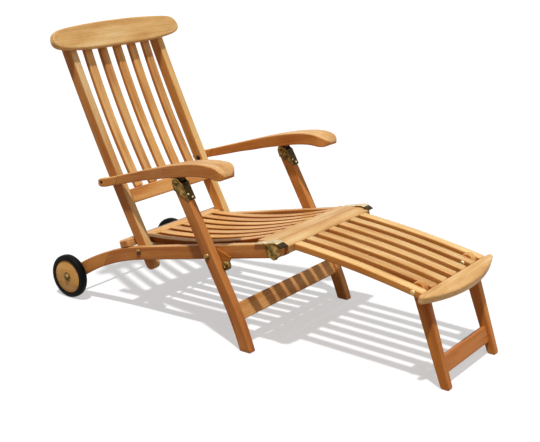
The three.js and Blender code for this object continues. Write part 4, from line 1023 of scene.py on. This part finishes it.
def arm_lug(label, side):
    """The brass eye under the arm, its neck up to the wood, and the pin that turns in the leg cap."""
    start, end = LEG_INNER + JOINT, LEG_OUTER - JOINT
    # The eye and neck are the darker brass, painted shade
    eye = [(0.1, start), (LUG_RADIUS, start), (LUG_RADIUS, end), (0.1, end)]
    turned(f"lug_eye_{label}", across(eye, side), *LEG_TOP, SHADE_BRASS, f"arm_{label}_side", "brass",
           [f"arm_lug_{label}"], steps=32)
    side_plate(f"lug_neck_{label}", LEG_TOP + LUG_NECK, LUG_WIDTH, side * LEG_Y, SHEET_ARRIS, SHADE_BRASS,
               f"arm_{label}_side", "brass")
    pin = [(0.1, LUG_PIN_START), (LUG_PIN_RADIUS, LUG_PIN_START), (LUG_PIN_RADIUS, LUG_PIN_END)]
    turned(f"lug_pin_{label}", across([*pin, *dome(6.5, 2.2, LUG_PIN_END + JOINT, 1)], side), *LEG_TOP, BRASS,
           f"arm_{label}_side", "brass", steps=32)


on_both_sides(arm_board, spare_hole, arm_lug)

# Footrest: its track is measured from the hinge

FOOT_DEPTH, FOOT_WIDTH, FOOT_PITCH, FOOT_BOW = 20.0, 32.0, 57.5, 6.5
FOOT_START, FOOT_FINISH = (30.9, 6.26), (439.6, -52.24)
CROSSBAR_LOW, CROSSBAR_TOP, CROSSBAR_WIDTH = -8.7, 20.8, 426.2
RELIEF_LENGTH, RELIEF_RISE = 10, 13

foot_finish = HINGE + FOOT_FINISH
foot_track = bowed(HINGE + FOOT_START, foot_finish, FOOT_BOW)
foot_start_top, foot_start_low = square_to(foot_track, 0, FOOT_DEPTH / 2)
bar_rear, bar_low = joint_x + CROSSBAR_SPACE, HINGE[1] + CROSSBAR_LOW
crossbar = [
    [bar_rear + RELIEF_LENGTH, bar_low], [foot_start_low[0] - JOINT, bar_low], foot_start_low - [JOINT, 0],
    foot_start_top - [JOINT, 0], [bar_rear, HINGE[1] + CROSSBAR_TOP], [bar_rear, bar_low + RELIEF_RISE],
]
bar_outline = rounded(crossbar, HINGE_CORNER)
# The crossbar's rim in the joint to the seat gets the gaps' darker painted shade, and its faces painted shade
side_plate("footrest_back_board", bar_outline, CROSSBAR_WIDTH, 0.0, HINGE_ARRIS, FACE_TEAK, "footrest",
           "teak_mid", ["footrest_crossbar"], grain_axes=GRAIN_ACROSS, deep_faces=1.0,
           deep_rim=GAP_SHADE * (bar_outline[:, 0] < bar_rear + 0.5))
slats("footrest", 7, FOOT_PITCH, foot_track, FOOT_DEPTH, FOOT_WIDTH, FACE_TEAK, "footrest", bleached=1)

# The end board's front edge is an arc, and a small circle joins it to the straight rear edge

END_HALF, END_SAG, END_REACH, END_CORNER = 219.0, 45.0, 57.0, 9.0
END_DEPTH, END_ARRIS = 24.0, 6.0

end_bend = (END_HALF**2 + END_SAG**2) / (2 * END_SAG)
end_middle = END_REACH - end_bend
corner_y = math.sqrt((end_bend - END_CORNER) ** 2 - (END_CORNER - end_middle) ** 2)
meeting = math.degrees(math.atan2(corner_y, END_CORNER - end_middle))
end_corner = arc_points([END_CORNER, corner_y], END_CORNER, 180, meeting, 10)
end_front = arc_points([end_middle, 0.0], end_bend, meeting, -meeting, 80)
end_outline = np.concatenate([end_corner, end_front[1:-1], (end_corner * [1, -1])[::-1]])
end_run, end_rise = square_to(foot_track, -1, FOOT_DEPTH / 2)[0] - foot_finish
end_pitch = math.degrees(math.atan2(end_rise, end_run)) - 90


def end_place(flat):
    """Forward along the board's pitch, across the chair, and up through the board."""
    along, through = heading(end_pitch), heading(end_pitch + 90)
    at = foot_finish + [JOINT, 0.0] + flat[:, :1] * along + flat[:, 2:3] * through
    return np.stack([at[:, 0], flat[:, 1], at[:, 1]], 1)


plate("footrest_end_plank", end_outline, END_DEPTH, END_ARRIS, end_place, FACE_TEAK, "footrest",
      "teak_mid", ["footrest_end_board"], grain_axes=[1, 0, 2])

# Footrest bolts and hinge hooks

FOOT_BOLT_HEAD, FOOT_BOLT_CROWN, FOOT_BOLT_SHANK = 8, 3.8, 4
FOOT_BOLT_INNER, FOOT_BOLT_OUTER = 98.6, 188.9
HOOK_RADIUS, HOOK_SHEET, HOOK_TAIL, HOOK_Y = 10, 3.4, 12, 211.0


def footrest_bolt(label, side):
    """A short bolt through the outer slats and the leg, with a domed head at each end."""
    rows = [
        *dome(FOOT_BOLT_HEAD, FOOT_BOLT_CROWN, FOOT_BOLT_INNER, -1)[::-1],
        (FOOT_BOLT_SHANK, FOOT_BOLT_INNER + 0.1), (FOOT_BOLT_SHANK, FOOT_BOLT_OUTER - 0.2),
        (FOOT_BOLT_HEAD, FOOT_BOLT_OUTER - 0.1),
        *dome(FOOT_BOLT_HEAD, FOOT_BOLT_CROWN, FOOT_BOLT_OUTER, 1),
    ]
    # The bolt is the paler brass, a painted highlight
    turned(f"footrest_bolt_brass_{label}", across(rows, side), *FOOT_PIVOT, HIGHLIGHT_BRASS, "footrest", "brass",
           [f"footrest_bolt_{label}"], steps=32)


def hinge_hook(label, side):
    """A brass plate on the crossbar's end, rounded about the hinge, with a tail below the bar."""
    tail = bar_low - HOOK_TAIL
    hook = [
        *arc_points(HINGE, HOOK_RADIUS, 90, 250, 14), [bar_rear + RELIEF_LENGTH, tail],
        [bar_rear + 2 * RELIEF_LENGTH, tail], [foot_start_low[0], bar_low],
        [foot_start_low[0], HINGE[1] + HOOK_RADIUS],
    ]
    side_plate(f"hook_plate_{label}", hook, HOOK_SHEET, side * HOOK_Y, SHEET_ARRIS, BRASS, "footrest",
               "brass", [f"footrest_hook_{label}"])


on_both_sides(footrest_bolt, hinge_hook)

# Footrest legs

FOOT_LEG_Y, FOOT_LEG_WIDTH, FOOT_LEG_ARRIS = 143.75, 24.0, 3.0
CROWN_RADIUS, CROWN_SETBACK = 19.5, 3.25
TOE_FRONT, TOE_REAR = 16.25, 8.98
TOE_CHAMFER_UP, TOE_CHAMFER_IN, CROWN_END = 5, 4, 14
FOOT_BAR_DROP, FOOT_BAR_DEPTH = 222.0, 48.0
FOOT_BAR_WIDTH, FOOT_BAR_HALF = 17.0, 131.4


def floor_point(forward):
    """Where the line that runs down the leg, so far forward of its middle, meets the floor."""
    lean = math.radians(FOOT_LEAN)
    drop = FOOT_PIVOT[1] / math.cos(lean) + forward * math.tan(lean)
    return down(FOOT_PIVOT, FOOT_LEAN, drop, forward) * [1, 0]


def footrest_leg(label, side):
    """A leg with a rounded top. Its rear edge draws in towards the floor, and its foot is chamfered:
    the outline is a half circle on two straight edges that are cut level above the floor."""
    middle = down(FOOT_PIVOT, FOOT_LEAN, 0.0, -CROWN_SETBACK)
    turns = np.radians(np.linspace(-90, 90, 25))
    crown = [down(middle, FOOT_LEAN, -CROWN_RADIUS * math.cos(a), CROWN_RADIUS * math.sin(a)) for a in turns]
    front, rear = floor_point(TOE_FRONT), floor_point(-TOE_REAR)
    up_front = (crown[-1] - front) / np.linalg.norm(crown[-1] - front)
    up_rear = (crown[0] - rear) / np.linalg.norm(crown[0] - rear)
    outline = crown + [
        crown[-1] - CROWN_END * up_front, front + TOE_CHAMFER_UP * up_front, front - [TOE_CHAMFER_IN, 0],
        rear + [TOE_CHAMFER_IN, 0], rear + TOE_CHAMFER_UP * up_rear, crown[0] - CROWN_END * up_rear,
    ]
    # Painted shade on the rim below the rounded top, which stays pale, and on both faces
    bleached_top = np.repeat([0.0, 1.0], [len(crown), len(outline) - len(crown)])
    side_plate(f"footrest_leg_board_{label}", outline, FOOT_LEG_WIDTH, side * FOOT_LEG_Y, FOOT_LEG_ARRIS,
               SLAT_TEAK, "footrest_legs", "teak_light", [f"footrest_leg_{label}"],
               grain_axes=FOOT_LEAN - 90.0, deep_rim=bleached_top, deep_faces=1.0)


on_both_sides(footrest_leg)
cross_bar("footrest_leg_cross_board", down(FOOT_PIVOT, FOOT_LEAN, FOOT_BAR_DROP), FOOT_LEAN,
          FOOT_BAR_DEPTH, FOOT_BAR_WIDTH, FOOT_BAR_HALF, SLAT_TEAK, "footrest_legs",
          ["footrest_stretcher"])

# Floor, light and camera

FLOOR_REACH, FLOOR_DROP = 40.0, 0.0005
FLOOR_SEEN, FLOOR_BOUNCE = (0.54, 0.54, 0.54, 1), (0.27, 0.20, 0.15, 1)
FLOOR_GLOW = 0.49
SKY_LIGHT, SKY_SEEN = 0.17, 1.0
# The photograph's size and middle, and the lens length and centre fitted to it, all in pixels
PHOTO_WIDTH, PHOTO_CENTRE = 540, (270, 221)
LENS_LENGTH, LENS_CENTRE = 1053.06, (283.71, 216.65)
SENSOR_WIDTH = 36.0
CAMERA_FROM_AXLE = 2483.7
CAMERA_Y, CAMERA_HEIGHT = -2.4903, 1.2659
CAMERA_ELEVATION, CAMERA_AZIMUTH = 16.87, 35.83


def seen_directly(node):
    """1 for rays from the camera, also through glass or off a mirror, and 0 for other light."""
    rays = node("ShaderNodeLightPath").outputs
    mirrored = node(MATHS, {"operation": "MAXIMUM"}, i0=rays["Is Camera Ray"], i1=rays["Is Glossy Ray"])
    return node(MATHS, {"operation": "MAXIMUM"}, i0=mirrored.outputs[0],
                i1=rays["Is Transmission Ray"]).outputs[0]


def studio_floor():
    """A wide pale floor that keeps the chair's shadow."""
    material, node = new_material("pale_floor")
    seen = seen_directly(node)
    colour = node(MIX, {"data_type": "RGBA"}, i0=seen, i6=FLOOR_BOUNCE, i7=FLOOR_SEEN).outputs[2]
    matt = node("ShaderNodeBsdfDiffuse", Color=colour).outputs[0]
    glow = node(MATHS, {"operation": "MULTIPLY"}, i0=seen, i1=FLOOR_GLOW).outputs[0]
    white = node("ShaderNodeEmission", Strength=glow).outputs[0]
    both = node("ShaderNodeAddShader", i0=matt, i1=white).outputs[0]
    node("ShaderNodeOutputMaterial", Surface=both)
    signs = ((-1, -1), (1, -1), (1, 1), (-1, 1))
    corners = [(FLOOR_REACH * x, FLOOR_REACH * y, -FLOOR_DROP) for x, y in signs]
    mesh = bpy.data.meshes.new("studio_floor")
    mesh.from_pydata(corners, [], [(0, 1, 2, 3)])
    mesh.materials.append(material)
    floor = add_object("studio_floor", mesh)


def studio_sky():
    """An even dim light from all round, which the camera sees as white."""
    world = bpy.data.worlds.new("studio")
    bpy.context.scene.world = world
    world.use_nodes = True
    world.node_tree.nodes.clear()
    node = partial(add_node, world.node_tree)
    level = node("ShaderNodeMapRange", Value=seen_directly(node), To_Min=SKY_LIGHT,
                 To_Max=SKY_SEEN).outputs[0]
    sky = node("ShaderNodeBackground", Color=WHITE, Strength=level).outputs[0]
    node("ShaderNodeOutputWorld", Surface=sky)


def add_sun(name, strength, towards, spread):
    """A distant soft light that shines along a direction."""
    data = bpy.data.lights.new(name, "SUN")
    data.energy = strength
    data.angle = math.radians(spread)
    lamp = add_object(name, data)
    x, y, z = towards
    lamp.rotation_euler = (math.atan2(math.hypot(x, y), -z), 0, math.atan2(x, -y) + math.pi)


def photo_camera():
    """The camera that was fitted to the photograph."""
    data = bpy.data.cameras.new("photo_camera")
    data.sensor_fit = "HORIZONTAL"
    data.sensor_width = SENSOR_WIDTH
    data.lens = LENS_LENGTH / PHOTO_WIDTH * SENSOR_WIDTH
    data.shift_x = (PHOTO_CENTRE[0] - LENS_CENTRE[0]) / PHOTO_WIDTH
    data.shift_y = (LENS_CENTRE[1] - PHOTO_CENTRE[1]) / PHOTO_WIDTH
    data.clip_end = 200.0
    camera = add_object("photo_camera", data)
    camera.location = ((CAMERA_FROM_AXLE + AXLE_X) * MM, CAMERA_Y, CAMERA_HEIGHT)
    camera.rotation_euler = (math.radians(90 - CAMERA_ELEVATION), 0, math.radians(CAMERA_AZIMUTH))
    bpy.context.scene.camera = camera


studio_floor()
studio_sky()
# The key stands almost overhead and draws the slats' shadows; the fill comes from the foot end
add_sun("key_light", strength=2.85, towards=(-0.12, 0.28, -1.0), spread=2.5)
add_sun("fill_light", strength=0.55, towards=(-1.0, 0.15, -0.5), spread=70)
photo_camera()
bpy.context.scene.view_settings.view_transform = "Standard"
